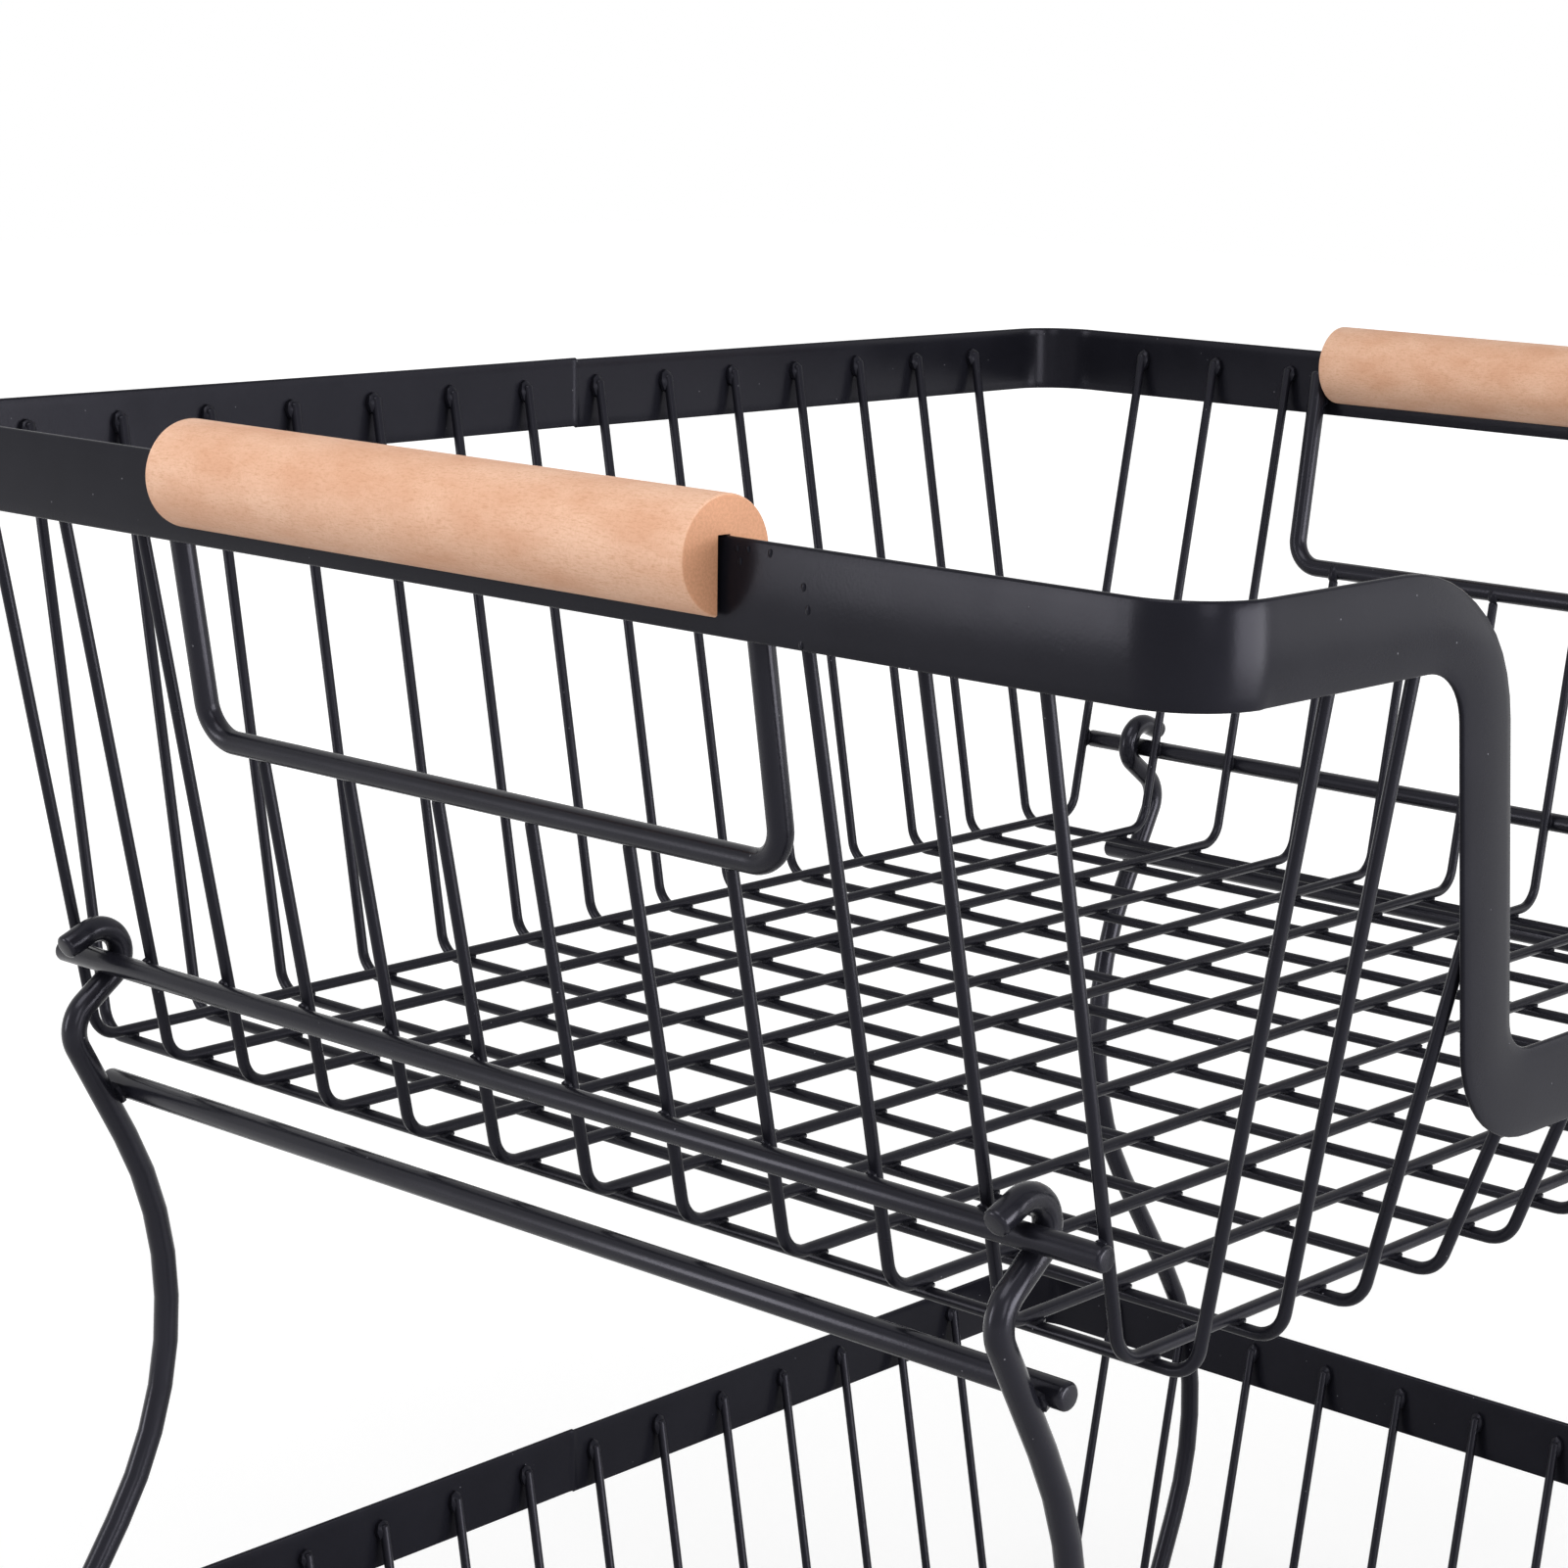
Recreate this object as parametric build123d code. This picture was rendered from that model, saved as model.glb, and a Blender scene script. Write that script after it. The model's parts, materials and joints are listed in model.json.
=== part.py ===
from build123d import *
import math
import os

# Two-tier wire basket. Millimetres, +Z up, +X to the right, the dipped front faces -Y.
# The origin is on the ground under the middle of the lower basket.

# Rim strip: one flat bar bent round the top of each basket, on edge
rim_width = 364.0
rim_depth = 332.0
rim_corner_radius = 15.0
strip_height = 16.2
strip_thickness = 1.5

# Front dip of the strip: widths and drop are on the centre line, and the bar is narrower on the dip's sides
dip_top_width = 222.4
dip_bottom_width = 182.9
dip_drop = 85.0
dip_side_width = 13.4
dip_top_outer_bend = 34.0
dip_top_inner_bend = 11.8
dip_bottom_outer_bend = 24.6
dip_bottom_inner_bend = 8.0
dip_lean_deg = 5.5
dip_fold_drop = 12.0
dip_fold_radius = 60.0

# Basket body
basket_height = 130.0
tier_spacing = 266.0
side_wall_run = 27.0
end_wall_run = 25.0
floor_edge_gap = 8.5
cross_wire_count = 12
depth_wire_count = 14
wire_diameter = 2.3
wire_bend_radius = 6.0
wire_top_gap = 5.0
weld_gap = 0.05

# Dip wires: ends on the lowered strip and on its sloping sides
dip_wire_top_share = 0.4
dip_side_wire_drop = 62.0

# Hand holds of the upper basket
hand_bar_diameter = 4.5
hand_bar_span = 147.0
hand_bar_drop = 54.3
hand_bar_run = 7.8
hand_bar_bend_radius = 7.0
hand_wire_count = 6
hand_wire_butt_gap = 0.1

# Wooden grips, slotted over the strip from above
grip_diameter = 19.6
grip_length = 135.0
grip_axis_drop = 3.2
grip_slot_width = 2.7
grip_slot_top_gap = 0.3
grip_edge_round = 0.6
left_grip_shift = 3.0
right_grip_shift = 2.0

# Side rods that carry the legs
rod_diameter = 4.5
rod_drop = 107.0
rod_overhang = 1.7
rod_shift = -1.3

# Leg frames: drops are below the upper rod, outward runs are from its axis
leg_inset = 13.9
left_frame_shift = 1.5
right_frame_shift = -4.7
leg_diameter = 5.0
leg_seat_gap = 0.3
eye_inner_radius = 3.0
eye_rise = 0.7
eye_tip_deg = 67.0
eye_tip_run = 5.8
shoulder_out = 7.7
shoulder_drop = 12.0
shoulder_radius = 7.0
waist_in = 27.9
waist_drop = 79.0
sweep_radius = 80.0
bulge_out = 41.4
bulge_drop = 185.0
foot_out = 10.6
foot_radius = 6.0
hook_tip_deg = 22.0
crossbar_diameter = 5.0
crossbar_overhang = 5.2
upper_crossbar_drop = 27.0
lower_crossbar_drop = 240.0

# Bent pieces have few flat sides, with the area of the round section, and their arcs are chords
wire_sides = 8
bar_sides = 10
chord_gap = 0.2

# Cutting bodies run past what they cut by this much
overrun = 20.0

# Levels and places that follow from the sizes above
floor_width = rim_width - 2 * side_wall_run
floor_depth = rim_depth - 2 * end_wall_run
wire_radius = wire_diameter / 2
upper_rim_top = basket_height + tier_spacing
depth_wire_floor_z = wire_radius
cross_wire_floor_z = depth_wire_floor_z + wire_diameter + weld_gap
cross_wire_pitch = (floor_depth - 2 * floor_edge_gap) / (cross_wire_count - 1)
rod_length = floor_depth - 2 * floor_edge_gap + 2 * rod_overhang
leg_span = rod_length - 2 * leg_inset
depth_wire_pitch = (floor_width - 2 * floor_edge_gap) / (depth_wire_count - 1)
wire_top_x = rim_width / 2 - strip_thickness - wire_radius - weld_gap
wire_top_y = rim_depth / 2 - strip_thickness - wire_radius - weld_gap
wire_top_z = basket_height - wire_top_gap
dip_lean = math.radians(dip_lean_deg)


def wall_x(height):
    """Half distance between the axes of a cross wire's two sides at a height."""
    share = (height - cross_wire_floor_z) / (wire_top_z - cross_wire_floor_z)
    return floor_width / 2 + (wire_top_x - floor_width / 2) * share


def wall_slope():
    """Outward run of a side wire for each unit of height."""
    return (wire_top_x - floor_width / 2) / (wire_top_z - cross_wire_floor_z)


def dip_inner_y(drop):
    """Y of the dip's leaning inner face at a drop below the rim's top."""
    return -rim_depth / 2 + strip_thickness / math.cos(dip_lean) + (drop - dip_fold_drop) * math.tan(dip_lean)


def cross_wire_y(index):
    """Y of one cross wire, counted from the front."""
    return (index - (cross_wire_count - 1) / 2) * cross_wire_pitch


def depth_wire_x(index):
    """X of one depth wire, counted from the left."""
    return (index - (depth_wire_count - 1) / 2) * depth_wire_pitch


def chords(path):
    """The path with each arc drawn as chords that stay within the chord gap."""
    points = [path @ 0]
    done = 0
    for edge in path.order_edges():
        count = 1
        if edge.geom_type == GeomType.CIRCLE:
            step = 2 * math.acos(1 - chord_gap / edge.radius)
            count = math.ceil(edge.length / edge.radius / step)
        points += [path @ ((done + edge.length * k / count) / path.length) for k in range(1, count + 1)]
        done += edge.length
    return Polyline(*points)


def bent_rod(path, across, diameter, sides):
    """A rod of flat sides along a flat path, with the same area as the round rod."""
    half_turn = math.pi / sides
    radius = diameter / 2 * math.sqrt(half_turn / (math.sin(half_turn) * math.cos(half_turn)))
    line = chords(path)
    plane = Plane(origin=line @ 0, x_dir=across, z_dir=line % 0)
    section = plane * RegularPolygon(radius, sides, rotation=90 - 180 / sides)
    return sweep(section, path=line, transition=Transition.RIGHT)


def save(name, solids):
    """Write one node's solids to its own STEP file."""
    shape = solids[0] if len(solids) == 1 else Compound(children=solids)
    export_step(shape, os.path.join("parts", name + ".step"))


def rim():
    """The flat bar, bent round four corners and down into the front dip."""
    inner_radius = rim_corner_radius - strip_thickness
    outline = RectangleRounded(rim_width, rim_depth, rim_corner_radius)
    outline -= RectangleRounded(rim_width - 2 * strip_thickness, rim_depth - 2 * strip_thickness, inner_radius)
    ring = Pos(0, 0, basket_height - strip_height) * extrude(outline, strip_height)
    straight = rim_width - 2 * rim_corner_radius
    gap = Pos(0, -rim_depth / 2, basket_height) * Box(straight, 2 * rim_corner_radius, 2 * strip_height + overrun)
    return ring - gap + dip_strip(straight)


def dip_edge(straight, side, top_bend, bottom_bend):
    """One edge of the front run in X and Z: the lower edge for side 1, the upper edge for side -1."""
    top_z = basket_height - strip_height / 2 - side * strip_height / 2
    slope = (dip_top_width - dip_bottom_width) / 2 / dip_drop
    shift = side * dip_side_width / 2 * math.hypot(1, slope)
    top_x = dip_top_width / 2 - side * slope * strip_height / 2 + shift
    low_x = top_x - slope * dip_drop
    right = [(low_x, top_z - dip_drop), (top_x, top_z), (straight / 2, top_z)]
    left = [(-x, z) for x, z in reversed(right)]
    return FilletPolyline(*left, *right, radius=[top_bend, bottom_bend, bottom_bend, top_bend])


def dip_strip(straight):
    """The front run: the bar's outline with its dip, cut from a sheet folded inwards."""
    lower = dip_edge(straight, 1, dip_top_inner_bend, dip_bottom_outer_bend)
    upper = dip_edge(straight, -1, dip_top_outer_bend, dip_bottom_inner_bend)
    ends = [Line(lower @ 0, upper @ 0), Line(lower @ 1, upper @ 1)]
    outline = Plane.XZ * make_face(lower.edges() + upper.edges() + ends)
    prism = extrude(outline, rim_depth / 2 + overrun, both=True)
    return prism & folded_sheet(straight)


def folded_sheet(straight):
    """A sheet that hangs straight down from the rim and leans inwards below it."""
    face_y = -rim_depth / 2
    fold_z = basket_height - dip_fold_drop
    reach = dip_drop + strip_height + overrun
    inner_fold_z = fold_z + strip_thickness * math.tan(dip_lean / 2)
    outer = [
        (face_y, basket_height + overrun),
        (face_y, fold_z),
        (face_y + reach * math.tan(dip_lean), fold_z - reach),
    ]
    inner = [
        (face_y + strip_thickness, basket_height + overrun),
        (face_y + strip_thickness, inner_fold_z),
        (face_y + strip_thickness / math.cos(dip_lean) + reach * math.tan(dip_lean), fold_z - reach),
    ]
    outer_line = FilletPolyline(*outer, radius=dip_fold_radius)
    inner_line = FilletPolyline(*inner, radius=dip_fold_radius - strip_thickness)
    ends = [Line(outer[0], inner[0]), Line(outer[-1], inner[-1])]
    section = Plane.YZ * make_face(outer_line.edges() + inner_line.edges() + ends)
    return extrude(section, straight / 2, both=True)


def cross_wire(tip_z):
    """One wire across: down the left wall, over the floor and up the right wall to the given height."""
    half = floor_width / 2
    tip_x = wall_x(tip_z)
    path = FilletPolyline(
        (-tip_x, 0, tip_z),
        (-half, 0, cross_wire_floor_z),
        (half, 0, cross_wire_floor_z),
        (tip_x, 0, tip_z),
        radius=wire_bend_radius,
    )
    return bent_rod(path, (0, 1, 0), wire_diameter, wire_sides)


def hand_bar_top_x():
    """X of the right hand bar's ends, just inside the strip."""
    return rim_width / 2 - strip_thickness - hand_bar_diameter / 2 - weld_gap


def hand_bar_place():
    """X and height of the right hand bar's lowest run."""
    return hand_bar_top_x() - hand_bar_run, basket_height - hand_bar_drop


def butted_tip_z():
    """Height at which a cross wire under a hand hold stops, just short of the hand bar."""
    bar_x, bar_z = hand_bar_place()
    stretch = math.hypot(1, wall_slope())
    beside = (bar_x - wall_x(bar_z)) * wall_slope() / stretch
    return bar_z - (hand_bar_diameter / 2 + hand_wire_butt_gap - beside) / stretch


def depth_wire(front_y, front_z):
    """One wire from front to back, with its front end at a given place."""
    half = floor_depth / 2
    path = FilletPolyline(
        (0, front_y, front_z),
        (0, -half, depth_wire_floor_z),
        (0, half, depth_wire_floor_z),
        (0, wire_top_y, wire_top_z),
        radius=wire_bend_radius,
    )
    return bent_rod(path, (1, 0, 0), wire_diameter, wire_sides)


def front_end_drop(x):
    """How far below the rim's top a depth wire's front end stops."""
    if abs(x) > dip_top_width / 2:
        return wire_top_gap
    if abs(x) > dip_bottom_width / 2:
        return dip_side_wire_drop
    return dip_drop + strip_height * dip_wire_top_share


def front_end(x):
    """Y and height of the front end of the depth wire at a given X."""
    drop = front_end_drop(x)
    if drop == wire_top_gap:
        return -wire_top_y, wire_top_z
    return dip_inner_y(drop) + wire_radius + weld_gap, basket_height - drop


def depth_wires(inside_dip):
    """The depth wires that end on the dip's lowest run, or the ones beside it."""
    wires = []
    for index in range(depth_wire_count):
        x = depth_wire_x(index)
        if (front_end_drop(x) > dip_drop) == inside_dip:
            wires.append(Pos(x, 0, 0) * depth_wire(*front_end(x)))
    return wires


def cross_wires(indices, wire):
    """Copies of one cross wire at the given places."""
    return [Pos(0, cross_wire_y(index), 0) * wire for index in indices]


def hand_bar():
    """The U-shaped frame of the right hand hold, welded behind the strip."""
    bar_x, bar_z = hand_bar_place()
    top_x = hand_bar_top_x()
    half = hand_bar_span / 2
    path = FilletPolyline(
        (top_x, -half, wire_top_z),
        (bar_x, -half, bar_z),
        (bar_x, half, bar_z),
        (top_x, half, wire_top_z),
        radius=hand_bar_bend_radius,
    )
    across = Plane(origin=path @ 0, x_dir=path % 0, z_dir=(0, 1, 0)).y_dir
    return bent_rod(path, across, hand_bar_diameter, bar_sides)


def grip():
    """A round wooden grip of the right side, slotted from below over the strip."""
    strip_x = (rim_width - strip_thickness) / 2
    axis_z = basket_height - grip_axis_drop
    block = Pos(strip_x, 0, axis_z) * Rot(90, 0, 0) * Cylinder(grip_diameter / 2, grip_length)
    block = chamfer(block.edges().filter_by(GeomType.CIRCLE), grip_edge_round)
    slot_top = basket_height + grip_slot_top_gap
    slot_inner_x = rim_width / 2 - strip_thickness - weld_gap
    slot = Box(grip_slot_width, grip_length + overrun, grip_diameter, align=(Align.MIN, Align.CENTER, Align.MAX))
    return block - Pos(slot_inner_x, 0, slot_top) * slot


def rod_x():
    """X of the right rod's axis, just outside the side wires."""
    height = basket_height - rod_drop
    return wall_x(height) + (rod_diameter / 2 + wire_radius + weld_gap) * math.hypot(1, wall_slope())


def rod():
    """The straight rod along the right side, across the ends of the cross wires."""
    bar = Rot(90, 0, 0) * Cylinder(rod_diameter / 2, rod_length)
    return Pos(rod_x(), rod_shift, basket_height - rod_drop) * bar


def leg_points():
    """Corner points of a right leg below its eye, in X and drop below the upper rod."""
    axis = rod_x()
    hook_radius = rod_diameter / 2 + leg_seat_gap + leg_diameter / 2
    shoulder = (axis + shoulder_out, shoulder_drop)
    waist = (axis - waist_in, waist_drop)
    bulge = (axis + bulge_out, bulge_drop)
    foot = (axis + foot_out, tier_spacing - hook_radius)
    return shoulder, waist, bulge, foot


def leg_path():
    """Centre line of a right leg: open eye round the upper rod, S-shaped run, hook over the lower rod."""
    axis = rod_x()
    upper_z = upper_rim_top - rod_drop
    eye_radius = eye_inner_radius + leg_diameter / 2
    eye_z = upper_z + eye_rise
    hook_radius = rod_diameter / 2 + leg_seat_gap + leg_diameter / 2
    hook_z = upper_z - tier_spacing
    corners = [(x, 0, upper_z - drop) for x, drop in leg_points()]
    reach_x, reach_z = corners[0][0] - axis, corners[0][2] - eye_z
    around = math.atan2(reach_z, reach_x) - math.acos(eye_radius / math.hypot(reach_x, reach_z))
    tangent = (axis + eye_radius * math.cos(around), 0, eye_z + eye_radius * math.sin(around))
    top_of_hook = (axis, 0, hook_z + hook_radius)
    run = FilletPolyline(
        tangent, *corners, top_of_hook, radius=[shoulder_radius, sweep_radius, sweep_radius, foot_radius]
    )
    start = math.degrees(around) + 360
    side = Plane.XZ
    eye = side * Pos(axis, eye_z) * CenterArc((0, 0), eye_radius, eye_tip_deg, start - eye_tip_deg)
    off, on = eye @ 0, eye % 0
    end = Line(off - on * eye_tip_run, off)
    hook = side * Pos(axis, hook_z) * CenterArc((0, 0), hook_radius, 90, 90 - hook_tip_deg)
    return Wire(end.edges() + eye.edges() + run.edges() + hook.edges())


def beside_leg(outer_corner, inner_corner, drop):
    """X of a crossbar on the inner side of a leg's straight run between two corners."""
    run_x = inner_corner[0] - outer_corner[0]
    run_drop = inner_corner[1] - outer_corner[1]
    leg_x = outer_corner[0] + run_x * (drop - outer_corner[1]) / run_drop
    apart = (leg_diameter + crossbar_diameter) / 2 + weld_gap
    return leg_x - apart * math.hypot(run_x, run_drop) / run_drop


def crossbar(x, drop):
    """A straight bar that joins the two right legs."""
    length = leg_span + 2 * crossbar_overhang
    bar = Rot(90, 0, 0) * Cylinder(crossbar_diameter / 2, length)
    return Pos(x, 0, upper_rim_top - rod_drop - drop) * bar


def save_sides(name, shape, right_shift=0, left_shift=0):
    """Write a right-hand node and its mirror image on the left, each shifted along Y."""
    save("right_" + name, [Pos(0, right_shift, 0) * shape])
    save("left_" + name, [Pos(0, left_shift, 0) * mirror(shape, about=Plane.YZ)])


def build_basket_shared(tier, lift):
    """Write the nodes that both baskets have: the rim, the front wires and the side rods."""
    up = Pos(0, 0, lift)
    save(tier + "_rim", [up * rim()])
    save(tier + "_depth_wires", [up * wire for wire in depth_wires(False)])
    save(tier + "_dip_wires", [up * wire for wire in depth_wires(True)])
    right_rod = up * rod()
    save(tier + "_right_rod", [right_rod])
    save(tier + "_left_rod", [mirror(right_rod, about=Plane.YZ)])


def build_upper_basket():
    """Write the upper basket with its hand holds and wooden grips."""
    build_basket_shared("upper", tier_spacing)
    up = Pos(0, 0, tier_spacing)
    first = (cross_wire_count - hand_wire_count) // 2
    inner = list(range(first, first + hand_wire_count))
    outer = [index for index in range(cross_wire_count) if index not in inner]
    save("upper_cross_wires", [up * wire for wire in cross_wires(outer, cross_wire(wire_top_z))])
    save("upper_short_cross_wires", [up * wire for wire in cross_wires(inner, cross_wire(butted_tip_z()))])
    save_sides("hand_bar", up * hand_bar())
    save("right_grip", [up * Pos(0, right_grip_shift, 0) * grip()])
    save("left_grip", [mirror(up * Pos(0, -left_grip_shift, 0) * grip(), about=Plane.YZ)])


def build_lower_basket():
    """Write the lower basket, whose cross wires all reach the rim."""
    build_basket_shared("lower", 0)
    save("lower_cross_wires", cross_wires(range(cross_wire_count), cross_wire(wire_top_z)))


def build_leg_frames():
    """Write the two leg frames, each with two legs and two crossbars."""
    shoulder, waist, bulge, foot = leg_points()
    leg = bent_rod(leg_path(), (0, 1, 0), leg_diameter, bar_sides)
    shapes = {
        "front_leg": Pos(0, -leg_span / 2, 0) * leg,
        "back_leg": Pos(0, leg_span / 2, 0) * leg,
        "upper_crossbar": crossbar(beside_leg(shoulder, waist, upper_crossbar_drop), upper_crossbar_drop),
        "lower_crossbar": crossbar(beside_leg(bulge, foot, lower_crossbar_drop), lower_crossbar_drop),
    }
    for name, shape in shapes.items():
        save_sides(name, shape, right_frame_shift, left_frame_shift)


if __name__ == "__main__":
    os.makedirs("parts", exist_ok=True)
    build_lower_basket()
    build_upper_basket()
    build_leg_frames()
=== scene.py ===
"""Tiered wire basket: powder-coated strip, wire and rod, with beech grips, in a plain pale studio.

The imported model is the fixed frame. Every wire, rod, leg, strip and grip is drawn again here, round and
smooth, with softened ends, on the same centre line as the frame's plainer one. The welds, the strip's
butt joint, the lumps in the coat and the finishes are added. Lengths are millimetres until a mesh is
written, except in the studio, where names that end in m are metres.
"""

import json
import logging
import math
from dataclasses import dataclass, field
from enum import Enum

import bmesh
import bpy
import numpy as np
from mathutils import Matrix, Vector

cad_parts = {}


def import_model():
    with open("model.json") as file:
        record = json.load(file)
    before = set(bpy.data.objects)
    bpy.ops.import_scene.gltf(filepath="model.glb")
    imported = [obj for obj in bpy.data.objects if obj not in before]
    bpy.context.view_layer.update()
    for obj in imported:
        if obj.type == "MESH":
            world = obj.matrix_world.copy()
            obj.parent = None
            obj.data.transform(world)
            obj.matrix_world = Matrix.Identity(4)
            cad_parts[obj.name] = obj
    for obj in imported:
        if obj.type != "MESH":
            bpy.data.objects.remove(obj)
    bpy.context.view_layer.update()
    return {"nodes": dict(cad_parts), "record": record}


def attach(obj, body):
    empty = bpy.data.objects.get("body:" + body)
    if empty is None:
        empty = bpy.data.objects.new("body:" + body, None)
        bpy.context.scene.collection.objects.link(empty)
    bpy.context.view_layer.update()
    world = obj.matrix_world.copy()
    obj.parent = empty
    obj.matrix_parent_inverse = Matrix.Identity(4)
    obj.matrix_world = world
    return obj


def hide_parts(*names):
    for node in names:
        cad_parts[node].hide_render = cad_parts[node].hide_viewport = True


LOG = logging.getLogger("tiered_wire_basket")
MM = 0.001
UP = np.array([0.0, 0.0, 1.0])
ALONG_X = np.array([1.0, 0.0, 0.0])
ALONG_Y = np.array([0.0, 1.0, 0.0])

# A bend has a point about every this many degrees.
TURN_DEG = 7.0
# Edges that turn further than this stay crisp.
SHARP_DEG = 38.0
# A softened edge is a quarter circle, drawn at these angles.
SOFT_TURNS = np.radians([90.0, 60.0, 30.0, 0.0])
# Two points closer than this, in millimetres, are one.
SAME_PLACE = 1e-6
# Each ring is counted this much further along than it is, so that no two share a place on the line.
HAIR = 1e-9
# The colour sockets of a Mix node, by number: two inputs and the output.
MIX_FIRST, MIX_SECOND, MIX_RESULT = 6, 7, 2

Colour = str | bpy.types.NodeSocket
Place = tuple[float, float]


class Slot(Enum):
    """The record's material slots."""

    RIM = "rim_strip"
    WIRE = "basket_wire"
    ROD = "basket_rod"
    LEG = "leg_rod"
    WOOD = "wood_grip"


class Side(Enum):
    """The two sides of the stack, as the sign of X."""

    LEFT = -1
    RIGHT = 1

    @property
    def word(self) -> str:
        """The side's name in node names."""
        return self.name.lower()


class Tier(Enum):
    """The two baskets, as how far each is lifted in millimetres."""

    LOWER = 0.0
    UPPER = 266.0

    @property
    def word(self) -> str:
        """The tier's name in node names."""
        return self.name.lower()

    @property
    def body(self) -> str:
        """The moving body that the basket is."""
        return self.word + "_basket"


def linear_colour(code: str) -> tuple[float, float, float, float]:
    """Turn an sRGB hex value to linear light.

    A part c between zero and one becomes c / 12.92 up to 0.04045, and above that (c + 0.055) / 1.055 to
    the power 2.4, as the sRGB standard has it.

    Args:
        code: six hex digits after a hash mark.

    Returns:
        Red, green, blue and an alpha of one.
    """
    digits = code.lstrip("#")
    parts = np.array([int(digits[k : k + 2], 16) / 255 for k in (0, 2, 4)])
    light = np.where(parts <= 0.04045, parts / 12.92, ((parts + 0.055) / 1.055) ** 2.4)
    return (*light.tolist(), 1.0)


def add_node(
    tree: bpy.types.NodeTree, kind: str, settings: dict[str | int, object] | None = None
) -> bpy.types.Node:
    """Add one shader node with its settings and what feeds it.

    Args:
        tree: the node tree.
        kind: Blender's name of the node type, less its first word, ShaderNode.
        settings: a value, or a socket to link, for each property by name or input by name or number.

    Returns:
        The new node.
    """
    node = tree.nodes.new("ShaderNode" + kind)
    for name, value in (settings or {}).items():
        if isinstance(name, str) and hasattr(node, name):
            setattr(node, name, value)
        elif isinstance(value, bpy.types.NodeSocket):
            tree.links.new(value, node.inputs[name])
        else:
            node.inputs[name].default_value = value
    return node


def new_material(name: str) -> tuple[bpy.types.Material, bpy.types.NodeTree]:
    """Make an empty node material.

    Args:
        name: the material's name.

    Returns:
        The material and its cleared node tree.
    """
    material = bpy.data.materials.new(name)
    material.use_nodes = True
    material.node_tree.nodes.clear()
    return material, material.node_tree


@dataclass(frozen=True)
class PowderCoat:
    """Black polyester powder coat, sprayed and baked on steel.

    To the eye it is a satin black with broad soft highlights, a very fine orange peel and a few pale nibs
    of dust. Their pale colour is partly dust and partly a painted highlight, the glint that each nib's bump
    catches. A nib can be finer than the render shows, so they are drawn about 0.4 mm wide. Polyester's
    refractive index is near 1.5, and a lower one is used, matched to how dark the coat is in the photo.
    """

    name: str
    colour: str = "#121217"
    dusty_colour: str = "#19191F"
    sheen_colour: str = "#F0EEFF"
    roughness: float = 0.24
    roughness_spread: float = 0.03
    ior: float = 1.19
    peel_pitch_mm: float = 0.6
    peel_height_mm: float = 0.012
    peel_detail: float = 2.0
    peel_contrast: float = 0.5
    cloud_pitch_mm: float = 16.0
    cloud_detail: float = 3.0
    cloud_contrast: float = 0.55
    cloud_limits: tuple[float, float] = (0.3, 0.7)
    # The nibs' colour: pale dust, with a painted highlight for the glint that each nib catches.
    nib_dust_and_glint_colour: str = "#85858C"
    nib_pitch_mm: float = 4.6
    nib_radius_share: float = 0.042
    nib_height_mm: float = 0.1

    def make(self) -> bpy.types.Material:
        """Build the coat: a softly drifting black and gloss, and a fine peel and sparse nibs in the bump.

        Returns:
            The material.
        """
        material, tree = new_material(self.name)
        place = add_node(tree, "TexCoord").outputs["Object"]
        cloud, peel = (
            add_node(
                tree,
                "TexNoise",
                {"Scale": 1 / (pitch * MM), "Detail": detail, "Roughness": contrast, "Vector": place},
            ).outputs["Fac"]
            for pitch, detail, contrast in (
                (self.cloud_pitch_mm, self.cloud_detail, self.cloud_contrast),
                (self.peel_pitch_mm, self.peel_detail, self.peel_contrast),
            )
        )
        cells = add_node(tree, "TexVoronoi", {"Scale": 1 / (self.nib_pitch_mm * MM), "Vector": place})
        nib = add_node(
            tree,
            "MapRange",
            {"From Min": self.nib_radius_share, "From Max": 0.0, "Value": cells.outputs["Distance"]},
        ).outputs["Result"]
        tint = {
            "data_type": "RGBA",
            "Factor": cloud,
            MIX_FIRST: linear_colour(self.colour),
            MIX_SECOND: linear_colour(self.dusty_colour),
        }
        # The nibs are coloured pale: partly dust, partly a painted highlight where each bump catches the
        # light.
        nib_dust_and_glint = {
            "data_type": "RGBA",
            "Factor": nib,
            MIX_FIRST: add_node(tree, "Mix", tint).outputs[MIX_RESULT],
            MIX_SECOND: linear_colour(self.nib_dust_and_glint_colour),
        }
        gloss = add_node(
            tree,
            "MapRange",
            {
                "From Min": self.cloud_limits[0],
                "From Max": self.cloud_limits[1],
                "To Min": self.roughness - self.roughness_spread,
                "To Max": self.roughness + self.roughness_spread,
                "Value": cloud,
            },
        )
        skin = add_node(
            tree, "Bump", {"Strength": 1.0, "Distance": self.peel_height_mm * MM, "Height": peel}
        ).outputs["Normal"]
        bump = add_node(
            tree,
            "Bump",
            {"Strength": 1.0, "Distance": self.nib_height_mm * MM, "Height": nib, "Normal": skin},
        )
        shader = add_node(
            tree,
            "BsdfPrincipled",
            {
                "IOR": self.ior,
                "Specular Tint": linear_colour(self.sheen_colour),
                "Base Color": add_node(tree, "Mix", nib_dust_and_glint).outputs[MIX_RESULT],
                "Roughness": gloss.outputs["Result"],
                "Normal": bump.outputs["Normal"],
            },
        )
        add_node(tree, "OutputMaterial", {"Surface": shader.outputs["BSDF"]})
        return material


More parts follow.
